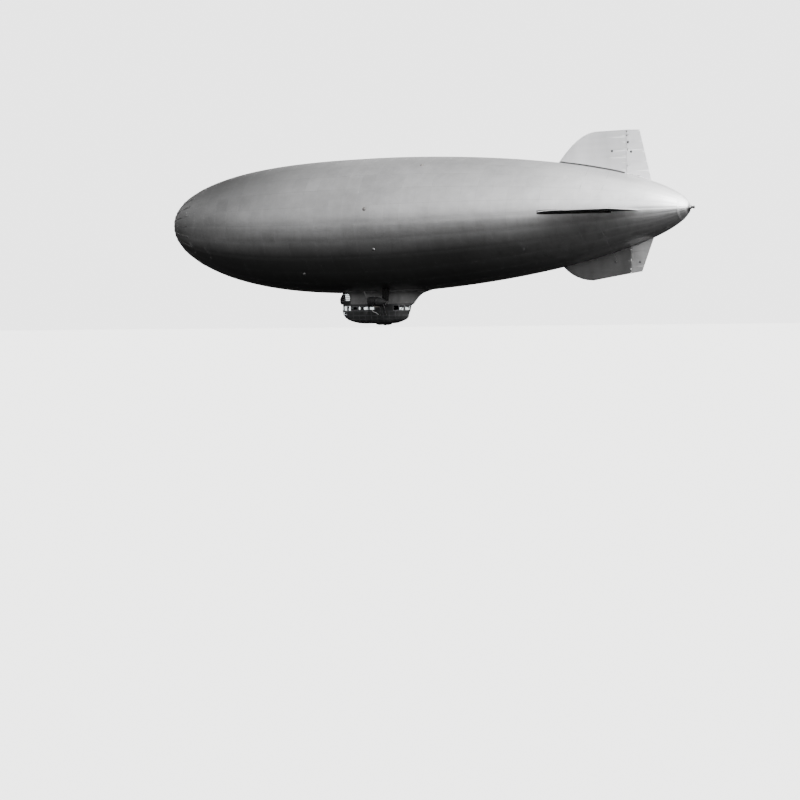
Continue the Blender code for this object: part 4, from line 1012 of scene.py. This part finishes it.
def frameSides(node, facing, across, heights):
    # Four strips on the wall round a pane. facing is the way out through it.
    margin, half = car["frameMargin"], car["frame"][0] / 2
    left, right = min(across) - margin, max(across) + margin
    low, high = heights[0] - margin, heights[1] + margin
    strips = [((left - half, low), (right + half, low)), ((left - half, high), (right + half, high)),
              ((left, low + half), (left, high - half)), ((right, low + half), (right, high - half))]
    lines = [wallLine(node, facing, ends) for ends in strips]
    return [line for line in lines if len(line) > 1]


def frameWindows():
    panes, bars = [], []
    ahead, astern = Vector((-1, 0, 0)), Vector((1, 0, 0))
    for word, side in bothSides.items():
        out, cabin = Vector((0, side, 0)), "car_cabin_" + word
        panes += [("car_cabin_front", out, pane, car["paneHeights"]) for pane in car["pilotPanes"]]
        panes += [(cabin, out, pane, car["crewHeights"]) for pane in car["crewPanes"]]
        panes.append((cabin, out, car["rearPanes"][word], car["paneHeights"]))
        panes.append(("car_tub", out, car["chinPane"], car["chinHeights"]))
        panes += [("bow_turret", out, pane, car["turretHeights"]) for pane in car["turretPanes"]]
        panes += [("car_cabin_front", ahead, (side * a, side * b), car["paneHeights"])
                  for a, b in car["screenPanes"]]
        a, b = car["chinFront"]
        panes.append(("car_tub", ahead, (side * a, side * b), car["chinHeights"]))
        panes += [(cabin, astern, (side * a, side * b), car["paneHeights"]) for a, b in car["sternPanes"]]
        bars += [wallLine("turret_glass", out, ((front, z), (rear, z)))
                 for front, rear in car["turretPanes"] for z in car["turretBars"]]
    strips = [line for pane in panes for line in frameSides(*pane)]
    doorStrips = frameSides("door_starboard", Vector((0, 1, 0)), car["doorPane"], car["paneHeights"])
    bars = [bar for bar in bars if len(bar) > 1]
    ribbons("windowFrames", strips, "root", "car_paint", "framePaint", *car["frame"])
    rows("windowBolts", strips, "root", "car_paint", "steel", *car["bolts"])
    ribbons("turretBars", bars, "root", "car_paint", "framePaint", *car["bar"])
    ribbons("doorFrame", doorStrips, "door", "car_paint", "framePaint", *car["frame"])
    rows("doorBolts", doorStrips, "door", "car_paint", "steel", *car["bolts"])


def seamCar():
    seams = [layRing("car_tub", (car["middle"], 0, z), *car["seamRing"]) for z in car["seamHeights"]]
    gapFront, gapRear = car["doorGap"]
    for side in bothSides.values():
        for x in steps(*car["seamEnds"], car["seamPitch"]):
            if side < 0 or not gapFront < x < gapRear:
                rays = [fromAbeam(side, x, z) for z in spread(*car["seamReach"], 16)]
                seams += layLine("car_tub", rays, tapeLift)
    ribbons("carSeams", seams, "root", "car_paint", "framePaint", *car["seam"])
    rows("carRivets", seams, "root", "car_paint", "framePaint", *car["rivets"])


# Rails and the door's step and handle, by their places along the car and their heights.
# sideRail is the light slanting line under the windows in the photograph.
rails = {
    "sideRail": ((-3.10, -6.03), (-2.62, -6.25)), "bar": (0.018, 10), "standoff": 0.035, "footDepth": 0.3,
    "step": (-1.86, -1.56), "stepHeight": -6.50, "stepReach": 0.12, "treads": (0.45, 0.72, 1.0),
    "stepTube": (0.008, 8), "stepRoot": 0.01, "braceDrop": 0.09, "braceReach": 0.9,
    "handle": (-1.875, -6.10), "handleBends": ((0, 0, 0), (0, 0.022, 0), (0.006, 0.028, 0), (0.09, 0.028, 0)),
    "handleTube": (0.006, 10), "rose": (0.014, 0.006, 0.006, 4),
}


def fitRails():
    bars = []
    for side in bothSides.values():
        # A bar that stands off the wall on two posts
        feet = [landOn("car_tub", *fromAbeam(side, x, z))[0] for x, z in rails["sideRail"]]
        out = Vector((0, side * rails["standoff"], 0))
        first, last = feet[0] + out, feet[1] + out
        bars += [[feet[0] - out * rails["footDepth"], first], [feet[1] - out * rails["footDepth"], last],
                 [first, (first + last) / 2, last]]
    rods("sideRails", bars, "root", "steel", "railPaint", *rails["bar"])
    reach = Vector((0, rails["stepReach"], 0))
    wall = [landOn("car_tub", *fromAbeam(1, x, rails["stepHeight"]))[0] for x in rails["step"]]
    tubes = [[place + reach * share for place in wall] for share in rails["treads"]]
    tubes += [[place - Vector((0, rails["stepRoot"], 0)), place + reach] for place in wall]
    tubes += [[place - up * rails["braceDrop"], place + reach * rails["braceReach"]] for place in wall]
    rods("doorStep", tubes, "root", "steel", "steel", *rails["stepTube"])
    hit = landOn("door_starboard", *fromAbeam(1, *rails["handle"]))[0]
    bend = [hit + Vector(move) for move in rails["handleBends"]]
    rods("doorHandle", [bend], "door", "steel", "steel", *rails["handleTube"])
    bonnets("doorHandleRose", [(hit, Vector((0, 1, 0)))], "door", "steel", "steel", *rails["rose"])


frameWindows()
seamCar()
fitRails()
print("car trimmed")


# Flight deck, as seen through the windows: a panel with dials, two control wheels and padded seats

deck = {
    "floor": -6.40, "seatY": 0.33, "panelX": -5.33, "panelHalf": 0.42, "panelHeights": (-6.22, -6.03),
    "panelDepth": 0.05, "footEnds": ((-0.04, -0.05), (0.06, 0.05)), "footGap": 0.002, "footLap": 0.01,
    "panelBevel": 0.004, "dialCount": 9, "dialInsets": (0.06, 0.055), "dial": (0.022, 0.003, 0.006, 8),
    "columnX": -5.24, "columnLean": 0.02, "wheelX": -5.228, "wheelRadius": 0.075, "wheelHeight": -6.06,
    "spokes": (0.0, 2.1, 4.2), "spokeRoot": 0.010, "tube": (0.009, 10),
    "pad": ((-5.075, -0.105), (-4.885, 0.105)), "padBase": -6.165, "padHeight": 0.034,
    "backBase": -4.885, "backHeights": (-6.11, -5.87),
}


def makePanel():
    x, half = deck["panelX"], deck["panelHalf"]
    bottom, top = deck["panelHeights"]
    board = ((x - deck["panelDepth"], -half, bottom), (x, half, top))
    (front, port), (rear, starboard) = deck["footEnds"]
    foot = ((x + front, port, deck["floor"] + deck["footGap"]),
            (x + rear, starboard, bottom + deck["footLap"]))
    draft = bmesh.new()
    for corners in (board, foot):
        low, high = Vector(corners[0]), Vector(corners[1])
        made = bmesh.ops.create_cube(draft, size=1.0)["verts"]
        bmesh.ops.scale(draft, vec=high - low, verts=made)
        bmesh.ops.translate(draft, vec=(low + high) / 2, verts=made)
    bmesh.ops.bevel(draft, geom=draft.edges[:], offset=deck["panelBevel"], segments=3, profile=0.5,
                    affect="EDGES")
    settle(keepDraft(draft, "instrumentPanel", "framePaint", 35), "root")
    sideInset, endInset = deck["dialInsets"]
    dials = [(Vector((x, y, z)), Vector((1, 0, 0)))
             for y in spread(-half + sideInset, half - sideInset, deck["dialCount"])
             for z in (bottom + endInset, top - endInset)]
    bonnets("dials", dials, "root", "steel", "darkSteel", *deck["dial"])


padShape = {"count": 14, "pull": 0.05, "seamDepth": 0.22, "seamWidth": 0.06, "under": 0.35, "fill": 0.7}


def cushion(name, centre, half, height, upright):
    # A crowned pad whose sides pull in between its corners, with a seam down its middle
    count, pull = padShape["count"], padShape["pull"]
    draft = bmesh.new()
    grid = []
    for level in (1, -1):
        for i in range(count + 1):
            row = []
            for j in range(count + 1):
                u, v = 2 * i / count - 1, 2 * j / count - 1
                x = half[0] * u * (1 - pull * (1 - v * v))
                y = half[1] * v * (1 - pull * (1 - u * u))
                crown = ((1 - u ** 4) * (1 - v ** 4)) ** 0.5
                seam = 1 - padShape["seamDepth"] * math.exp(-(v / padShape["seamWidth"]) ** 2) * crown
                z = height / 2 * (1 + level * crown * (seam if level > 0 else padShape["under"]))
                place = Vector((-z, y, x)) if upright else Vector((x, y, z))
                row.append(draft.verts.new(Vector(centre) + place))
            grid.append(row)
    for first in (0, count + 1):
        for i in range(count):
            for j in range(count):
                a, b = grid[first + i], grid[first + i + 1]
                face = (a[j], b[j], b[j + 1], a[j + 1])
                draft.faces.new(face if first == 0 else face[::-1])
    bmesh.ops.remove_doubles(draft, verts=draft.verts, dist=1e-6)
    bmesh.ops.recalc_face_normals(draft, faces=draft.faces)
    pad = settle(keepDraft(draft, name, "seatHide"), "root")


def fitDeck():
    makePanel()
    bars = []
    (x0, y0), (x1, y1) = deck["pad"]
    z0, z1 = deck["backHeights"]
    for word, side in bothSides.items():
        y = deck["seatY"] * side

        def rimAt(t):
            return (deck["wheelX"], y + math.cos(t) * deck["wheelRadius"],
                    deck["wheelHeight"] + math.sin(t) * deck["wheelRadius"])

        foot = (deck["columnX"] - deck["columnLean"], y, deck["floor"])
        bars.append([foot, (deck["columnX"], y, deck["wheelHeight"])])
        bars.append([rimAt(t) for t in turnRound(24)])
        root = (deck["columnX"] + deck["spokeRoot"], y, deck["wheelHeight"])
        bars += [[root, rimAt(t)] for t in deck["spokes"]]
        cushion("seatPad" + word.capitalize(), ((x0 + x1) / 2, y, deck["padBase"]),
                ((x1 - x0) / 2, (y1 - y0) / 2), deck["padHeight"], False)
        cushion("backPad" + word.capitalize(), (deck["backBase"], y, (z0 + z1) / 2),
                ((z1 - z0) / 2, (y1 - y0) / 2), deck["padHeight"], True)
    rods("controlWheels", bars, "root", "steel", "darkSteel", *deck["tube"])


fitDeck()
print("flight deck fitted")


# Horns and hinge caps on the fins, where the photograph shows dots, as (x, reach from the axis)

fittings = {
    "fin_upper": ((13.97, 3.63),), "rudder_upper": ((15.26, 3.54), (15.05, 4.13)),
    "fin_lower": ((14.20, -3.20),), "rudder_lower": ((15.82, -3.24),),
    "fin_port": ((14.0, -3.5),), "elevator_port": ((15.35, -3.4),),
    "fin_starboard": ((14.0, 3.5),), "elevator_starboard": ((15.35, 3.4),),
}
horn = {"cap": (0.055, 0.035, 0.02, 8), "rise": 0.096, "back": 0.048, "arm": (0.012, 8)}


def fitFins():
    for name, places in fittings.items():
        caps, arms = [], []
        for x, out in places:
            for face in (-1.0, 1.0):
                start, direction = faceRay(name, face, x, out)
                hit = landOn(name, start, direction, 0.0, finLook["rayReach"])
                if hit:
                    tip = hit[0] - direction * horn["rise"]
                    caps.append(hit)
                    arms.append([hit[0], tip, tip + Vector((horn["back"], 0, 0))])
        body = surfaces[name][0]
        bonnets(titleOf(name) + "Caps", caps, body, "steel", "darkSteel", *horn["cap"])
        if body != "root":
            rods(titleOf(name) + "Horns", arms, body, "steel", "darkSteel", *horn["arm"])


fitFins()


# Engines: finned cylinders and pushrods round the crankcase, cowl bolts, exhaust, and the propeller's hub

engine = {"y": 1.80, "z": -5.45, "middle": -2.39, "front": -2.62, "rear": -2.16, "cowlRadius": 0.34,
          "cylinders": 9, "base": 0.145, "barrel": 0.058, "fins": 12, "finPitch": 0.0095, "finDepth": 0.0035,
          "caseRings": ((-2.598, 0.058), (-2.435, 0.131)), "caseBolts": (0.04, 0.006, 0.8, 0.008)}
# Head, rocker boxes and pushrods: place along the axis and across it, height, share of the radius, and lift
cylinderTops = ((0, 0, 0.035, 0.85, 0.012),
                (-0.035, 0.03, 0.05, 0.26, 0.02), (-0.035, -0.03, 0.05, 0.26, 0.02),
                (-0.062, 0.02, 0.17, 0.10, -0.06), (-0.062, -0.02, 0.17, 0.10, -0.06))


def makeCylinderTree(sizes):
    tree, inputs = startTree("finnedCylinders", sizes)
    offset = addNode(tree, "ShaderNodeCombineXYZ", {2: inputs["finPitch"]}).outputs[0]
    line = addNode(tree, "GeometryNodeMeshLine", {"Count": inputs["fins"], "Offset": offset})
    fin = addNode(tree, "GeometryNodeMeshCylinder",
                  {"Vertices": 20, "Radius": inputs["barrel"], "Depth": inputs["finDepth"]})
    parts = [copiesAt(tree, line.outputs[0], fin.outputs[0])]
    top = calc(tree, "MULTIPLY", inputs["fins"], inputs["finPitch"])
    for x, y, tall, share, lift in cylinderTops:
        radius = calc(tree, "MULTIPLY", inputs["barrel"], share)
        part = addNode(tree, "GeometryNodeMeshCylinder", {"Vertices": 12, "Radius": radius, "Depth": tall})
        spot = addNode(tree, "ShaderNodeCombineXYZ", {0: x, 1: y, 2: calc(tree, "ADD", top, lift)})
        moved = addNode(tree, "GeometryNodeTransform",
                        {"Geometry": part.outputs[0], "Translation": spot.outputs[0]})
        parts.append(moved.outputs[0])
    ahead = addNode(tree, "FunctionNodeAlignRotationToVector",
                    {"Rotation": turnOutward(tree), "Vector": (1, 0, 0)}, axis="X", pivot_axis="Z")
    placed = copiesAt(tree, inputs["Geometry"], joinParts(tree, parts), ahead.outputs[0])
    return endTree(tree, placed, inputs["Material"], False)


cylinderSizes = {key: engine[key] for key in ("barrel", "fins", "finPitch", "finDepth")}
cylinderTree = makeCylinderTree(cylinderSizes)

# Points of the pipe behind the engine: back from the cowl's rear edge, outboard of the hub, and down from it
exhaust = {"ringBack": -0.05, "ring": 0.285, "tube": (0.026, 14),
           "pipe": ((-0.06, 0.16, 0.24), (-0.01, 0.19, 0.29), (0.05, 0.20, 0.315), (0.16, 0.20, 0.33),
                    (0.36, 0.195, 0.33))}
cowlStrap = {"inset": 0.09, "strap": (0.018, 0.003), "bolts": (0.05, 0.004, 0.7, 0.010)}
nacelle = {"seams": (-2.06, -1.86, -1.64), "seam": (0.014, 0.002), "rivets": (0.045, 0.003, 0.7, 0.006),
           "louvreEnds": (-2.00, -1.90), "louvreAngles": (1.15, 1.35, 1.8, 2.0), "louvre": (0.022, 0.008),
           "louvreLift": 0.004, "raysFrom": 0.6, "rayReach": 0.7}


def engineAxis(x, side):
    return Vector((x, engine["y"] * side, engine["z"]))


def ringAt(centre, radius, count=48):
    # A closed ring across the engine's axis, with its way out
    return [(centre + outAt(t) * radius, outAt(t)) for t in turnRound(count)]


def buildEngine(word, side):
    title = word.capitalize()
    spots = ringAt(engineAxis(engine["middle"], side), engine["base"], engine["cylinders"])[:-1]
    source = pathMesh("cylinderSpots", [[spot] for spot in spots])
    cylinders = grow("cylinders" + title, source, cylinderTree, cylinderSizes, "engineIron")
    settle(cylinders, "root")
    case = [ringAt(engineAxis(x, side), radius) for x, radius in engine["caseRings"]]
    rows("caseBolts" + title, case, "root", "steel", "steel", *engine["caseBolts"])
    collector = ringAt(engineAxis(engine["rear"] + exhaust["ringBack"], side), exhaust["ring"])
    pipe = [engineAxis(engine["rear"] + back, side) + Vector((0, side * out, -down))
            for back, out, down in exhaust["pipe"]]
    pipes = [[place for place, _ in collector], pipe]
    rods("exhaust" + title, pipes, "root", "engine_iron", "exhaustIron", *exhaust["tube"])
    ends = (engine["front"] + cowlStrap["inset"], engine["rear"] - cowlStrap["inset"])
    straps = [ringAt(engineAxis(x, side), engine["cowlRadius"] + tapeLift, 72) for x in ends]
    ribbons("cowlStraps" + title, straps, "root", "silver_paint", "nacellePaint", *cowlStrap["strap"])
    rows("cowlBolts" + title, straps, "root", "silver_paint", "steel", *cowlStrap["bolts"])
    far, reach = nacelle["raysFrom"], nacelle["rayReach"]
    seams = []
    for x in nacelle["seams"]:
        rays = [(place, -out) for place, out in ringAt(engineAxis(x, side), far, 72)]
        seams.append(landAll("nacelle_" + word, rays, tapeLift, reach))
    ribbons("nacelleSeams" + title, seams, "root", "silver_paint", "nacellePaint", *nacelle["seam"])
    rows("nacelleRivets" + title, seams, "root", "silver_paint", "steel", *nacelle["rivets"])
    louvres = []
    for angle in nacelle["louvreAngles"]:
        out = outAt(side * angle)
        rays = [(engineAxis(x, side) + out * far, -out) for x in spread(*nacelle["louvreEnds"], 3)]
        louvres.append(landAll("nacelle_" + word, rays, nacelle["louvreLift"], reach))
    ribbons("nacelleLouvres" + title, louvres, "root", "silver_paint", "darkSteel", *nacelle["louvre"])


hub = {"x": -2.70, "radius": 0.071, "bolts": (0.036, 0.006, 0.8, 0.010), "capAhead": 0.088,
       "cap": (0.022, 0.004, 0.008, 6), "blades": 3, "firstBlade": 40, "cuffEnds": (0.055, 0.115),
       "cuff": (0.030, 16)}


def buildHub(word, side):
    body, title, middle = "propeller_" + word, word.capitalize(), engineAxis(hub["x"], side)
    rows("hubBolts" + title, [ringAt(middle, hub["radius"])], body, "steel", "steel", *hub["bolts"])
    cap = [(middle - Vector((hub["capAhead"], 0, 0)), Vector((-1, 0, 0)))]
    bonnets("hubCap" + title, cap, body, "steel", "steel", *hub["cap"])
    outs = [outAt(-math.radians(hub["firstBlade"]) - turn) for turn in turnRound(hub["blades"])[:-1]]
    cuffs = [[middle + out * end for end in hub["cuffEnds"]] for out in outs]
    rods("bladeCuffs" + title, cuffs, body, "steel", "darkSteel", *hub["cuff"])


for sideWord, sideSign in bothSides.items():
    buildEngine(sideWord, sideSign)
    buildHub(sideWord, sideSign)
print("engines built")


# Landing wheel: a ribbed tyre, hub bolts, and the rim of the well

wheel = {
    "x": -2.56, "z": -6.77, "radius": 0.21, "sides": 72, "rim": 0.1165, "treadHalf": 0.040, "crown": 0.006,
    "bead": ((-0.036, 0.0), (-0.052, 0.012), (-0.060, 0.036)), "shoulder": ((-0.058, 0.036), (-0.050, 0.014)),
    "grooves": (-0.021, 0.0, 0.021), "grooveHalf": 0.003, "grooveDepth": 0.006,
    "boltCircle": 0.075, "bolts": (0.047, 0.006, 0.8, 0.012), "raysFrom": 0.3, "rayReach": 0.35,
    "wellX": -2.64, "wellSeams": (-6.862, -6.90), "wellRing": (120, tapeLift, 1.5),
    "seam": (0.016, 0.002), "rivets": (0.04, 0.003, 0.7, 0.005),
}


def tyreProfile():
    # Half widths and radii round the tyre's section, from one bead over the tread to the other
    rim, radius, half = wheel["rim"], wheel["radius"], wheel["grooveHalf"]
    wall = [(y, rim + rise) for y, rise in wheel["bead"]]
    wall += [(y, radius - drop) for y, drop in wheel["shoulder"]]

    def crownAt(y):
        return radius - wheel["crown"] * (y / wheel["treadHalf"]) ** 2

    tread = [(y, crownAt(y)) for y in spread(-wheel["treadHalf"], wheel["treadHalf"], 9)
             if all(abs(y - middle) > 1.5 * half for middle in wheel["grooves"])]
    for middle in wheel["grooves"]:
        tread += [(middle + offset * half, crownAt(middle) - depth * wheel["grooveDepth"])
                  for offset, depth in ((-1.6, 0), (-1, 1), (1, 1), (1.6, 0))]
    return wall + sorted(tread) + [(-y, r) for y, r in wall[::-1]]


def wheelPlace(y, radius, angle):
    return Vector((wheel["x"] + radius * math.sin(angle), y, wheel["z"] + radius * math.cos(angle)))


def buildTyre():
    draft = bmesh.new()
    profile, angles = tyreProfile(), turnRound(wheel["sides"])[:-1]
    loops = [[draft.verts.new(wheelPlace(y, r, angle)) for y, r in profile] for angle in angles]
    count = len(profile)
    for a, b in zip(loops, loops[1:] + loops[:1]):
        for i in range(count):
            draft.faces.new((a[i], a[(i + 1) % count], b[(i + 1) % count], b[i]))
    bmesh.ops.recalc_face_normals(draft, faces=draft.faces)
    settle(keepDraft(draft, "ribbedTyre", "rubber", 40), "wheel", ["tyre"])


def fitWheel():
    lines = []
    for side in bothSides.values():
        inward = Vector((0, -side, 0))
        rays = [(wheelPlace(side * wheel["raysFrom"], wheel["boltCircle"], angle), inward)
                for angle in turnRound(32)]
        lines.append([(place, -inward) for place, _ in landAll("wheel_hub", rays, 0.0, wheel["rayReach"])])
    rows("wheelBolts", lines, "wheel", "steel", "steel", *wheel["bolts"])
    rims = [layRing("wheel_fairing", (wheel["wellX"], 0, z), *wheel["wellRing"]) for z in wheel["wellSeams"]]
    ribbons("fairingSeams", rims, "root", "car_paint", "carPaint", *wheel["seam"])
    rows("fairingRivets", rims, "root", "car_paint", "steel", *wheel["rivets"])


buildTyre()
fitWheel()
print("wheel built")


# The solids that stay, by finish: the slot, and the nodes without their words for port and starboard

coats = {
    "conePaint": ("silver_paint", ("nose_cone",)),
    "tapeCloth": ("silver_paint", ("tail_cone",)),
    "steel": ("steel", ("mooring_spindle", "door_hinge", "gear_leg")),
    "darkSteel": ("steel", ("tail_fitting",)),
    "carPaint": ("car_paint", ("car_tub", "car_cabin", "car_cabin_front", "car_roof", "car_bulkhead",
                               "bow_turret", "door", "wheel_fairing")),
    "deckPaint": ("car_paint", ("car_deck",)),
    "seatPaint": ("seat_paint", ("pilot_seat",)),
    "glass": ("glass", ("cabin_glass", "chin_glass", "turret_glass", "door_glass")),
    "strutPaint": ("strut_paint", ("outrigger", "caster_fork", "wheel_hub")),
    "nacellePaint": ("silver_paint", ("nacelle", "cowl")),
    "engineIron": ("engine_iron", ("engine",)),
    "bladePaint": ("blade_paint", ("propeller",)),
    "scoopPaint": ("silver_paint", ("air_scoop",)),
}
roundSolids = ("nose_cone", "tail_cone", "mooring_spindle", "tail_fitting", "car_tub", "nacelle", "cowl",
               "engine", "propeller", "outrigger", "wheel_fairing", "wheel_hub", "caster_fork", "pilot_seat",
               "air_scoop")


def coatSolids():
    coatOf = {plain: (finish, slot) for finish, (slot, plains) in coats.items() for plain in plains}
    for name, node in nodes.items():
        plain = name.replace("_port", "").replace("_starboard", "")
        if plain not in coatOf:
            continue
        finish, slot = coatOf[plain]
        if plain in roundSolids:
            workedCopy(titleOf(name) + "Round", name, node["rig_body"], finish)
        else:
            node.data.materials.clear()
            node.data.materials.append(paint[finish])


coatSolids()
print("solids finished")


# Camera, at the photograph's angle, and the studio

view = {"turn": 0.53373, "rise": -0.04712, "distance": 150.0, "focalPixels": 2306.04,
        "centrePixel": (419.54, 217.60), "roll": -0.00946, "pixels": 800, "sensor": 36, "farthest": 1000}


def makeCamera():
    turn, rise = view["turn"], view["rise"]
    back = Vector((math.sin(turn) * math.cos(rise), -math.cos(turn) * math.cos(rise), math.sin(rise)))
    middle = view["pixels"] / 2
    right, down = view["centrePixel"][0] - middle, middle - view["centrePixel"][1]
    heading = math.atan2(-back.y, -back.x) + math.atan2(right, view["focalPixels"])
    tilt = math.asin(-back.z) - math.atan2(down, math.hypot(view["focalPixels"], right))
    ahead = Vector((math.cos(heading) * math.cos(tilt), math.sin(heading) * math.cos(tilt), math.sin(tilt)))
    across = ahead.cross(up).normalized()
    above = across.cross(ahead)
    cosine, sine = math.cos(view["roll"]), math.sin(view["roll"])
    across, above = across * cosine + above * sine, above * cosine - across * sine
    lens = bpy.data.cameras.new("photoCamera")
    lens.sensor_width = view["sensor"]
    lens.lens = view["focalPixels"] / view["pixels"] * view["sensor"]
    lens.clip_end = view["farthest"]
    camera = addObject("photoCamera", lens)
    turned = Matrix((across, above, -ahead)).transposed().to_4x4()
    camera.matrix_world = Matrix.Translation(back * view["distance"]) @ turned
    bpy.context.scene.camera = camera


studio = {"floorHeight": -7.105, "floorSize": 900.0, "floorColour": (0.86, 0.86, 0.85), "bounce": 0.010,
          "floorRoughness": 0.9, "sunPower": 1.0, "sunSoftness": 30.0, "sunFrom": (0.52, -0.38, 0.76),
          "skySeen": 3.2, "glowFrom": (1.0, 0.0, 0.0), "glow": 16.0, "glowPower": 2.6, "rest": 0.25,
          "horizon": (-0.12, 0.30)}


def skyLight(sky):
    # A soft dome that glows from high on one side and is dark below the horizon
    toward = addNode(sky, "ShaderNodeTexCoord").outputs["Generated"]
    height = addNode(sky, "ShaderNodeSeparateXYZ", {0: toward}).outputs[2]
    side = addNode(sky, "ShaderNodeVectorMath", {0: toward, 1: studio["glowFrom"]}, operation="DOT_PRODUCT")
    near = calc(sky, "POWER", remap(sky, side.outputs["Value"], -1.0, 1.0), studio["glowPower"])
    level = calc(sky, "MULTIPLY_ADD", near, studio["glow"], studio["rest"])
    return calc(sky, "MULTIPLY", level, remap(sky, height, *studio["horizon"]))


def seenStraight(tree):
    # 1 for what the camera sees, through glass too, and 0 for light on its way to a surface
    path = addNode(tree, "ShaderNodeLightPath").outputs
    return calc(tree, "MAXIMUM", path["Is Camera Ray"], path["Is Transmission Ray"])


def makeFloor():
    material, tree, shader = startMaterial("paleFloor")
    colour = mixColours(tree, seenStraight(tree), studio["bounce"], studio["floorColour"])
    tree.links.new(colour, shader.inputs["Base Color"])
    shader.inputs["Roughness"].default_value = studio["floorRoughness"]
    shader.inputs["Specular IOR Level"].default_value = 0.0
    paint["paleFloor"] = material
    draft = bmesh.new()
    bmesh.ops.create_grid(draft, x_segments=2, y_segments=2, size=studio["floorSize"])
    bmesh.ops.translate(draft, vec=(0, 0, studio["floorHeight"]), verts=draft.verts)
    keepDraft(draft, "studioFloor", "paleFloor")


def makeLights():
    lamp = bpy.data.lights.new("softSun", "SUN")
    lamp.energy = studio["sunPower"]
    lamp.angle = math.radians(studio["sunSoftness"])
    sun = addObject("softSun", lamp)
    sun.rotation_euler = Vector(studio["sunFrom"]).to_track_quat("Z", "Y").to_euler()
    world = bpy.data.worlds.new("paleStudio")
    world.use_nodes = True
    bpy.context.scene.world = world
    sky = world.node_tree
    background = sky.nodes["Background"]
    sky.links.new(mixColours(sky, seenStraight(sky), skyLight(sky), 1.0), background.inputs["Color"])
    seen = remap(sky, seenStraight(sky), 0, 1, 1, studio["skySeen"])
    sky.links.new(seen, background.inputs["Strength"])


makeCamera()
makeFloor()
makeLights()
print("camera and studio set")
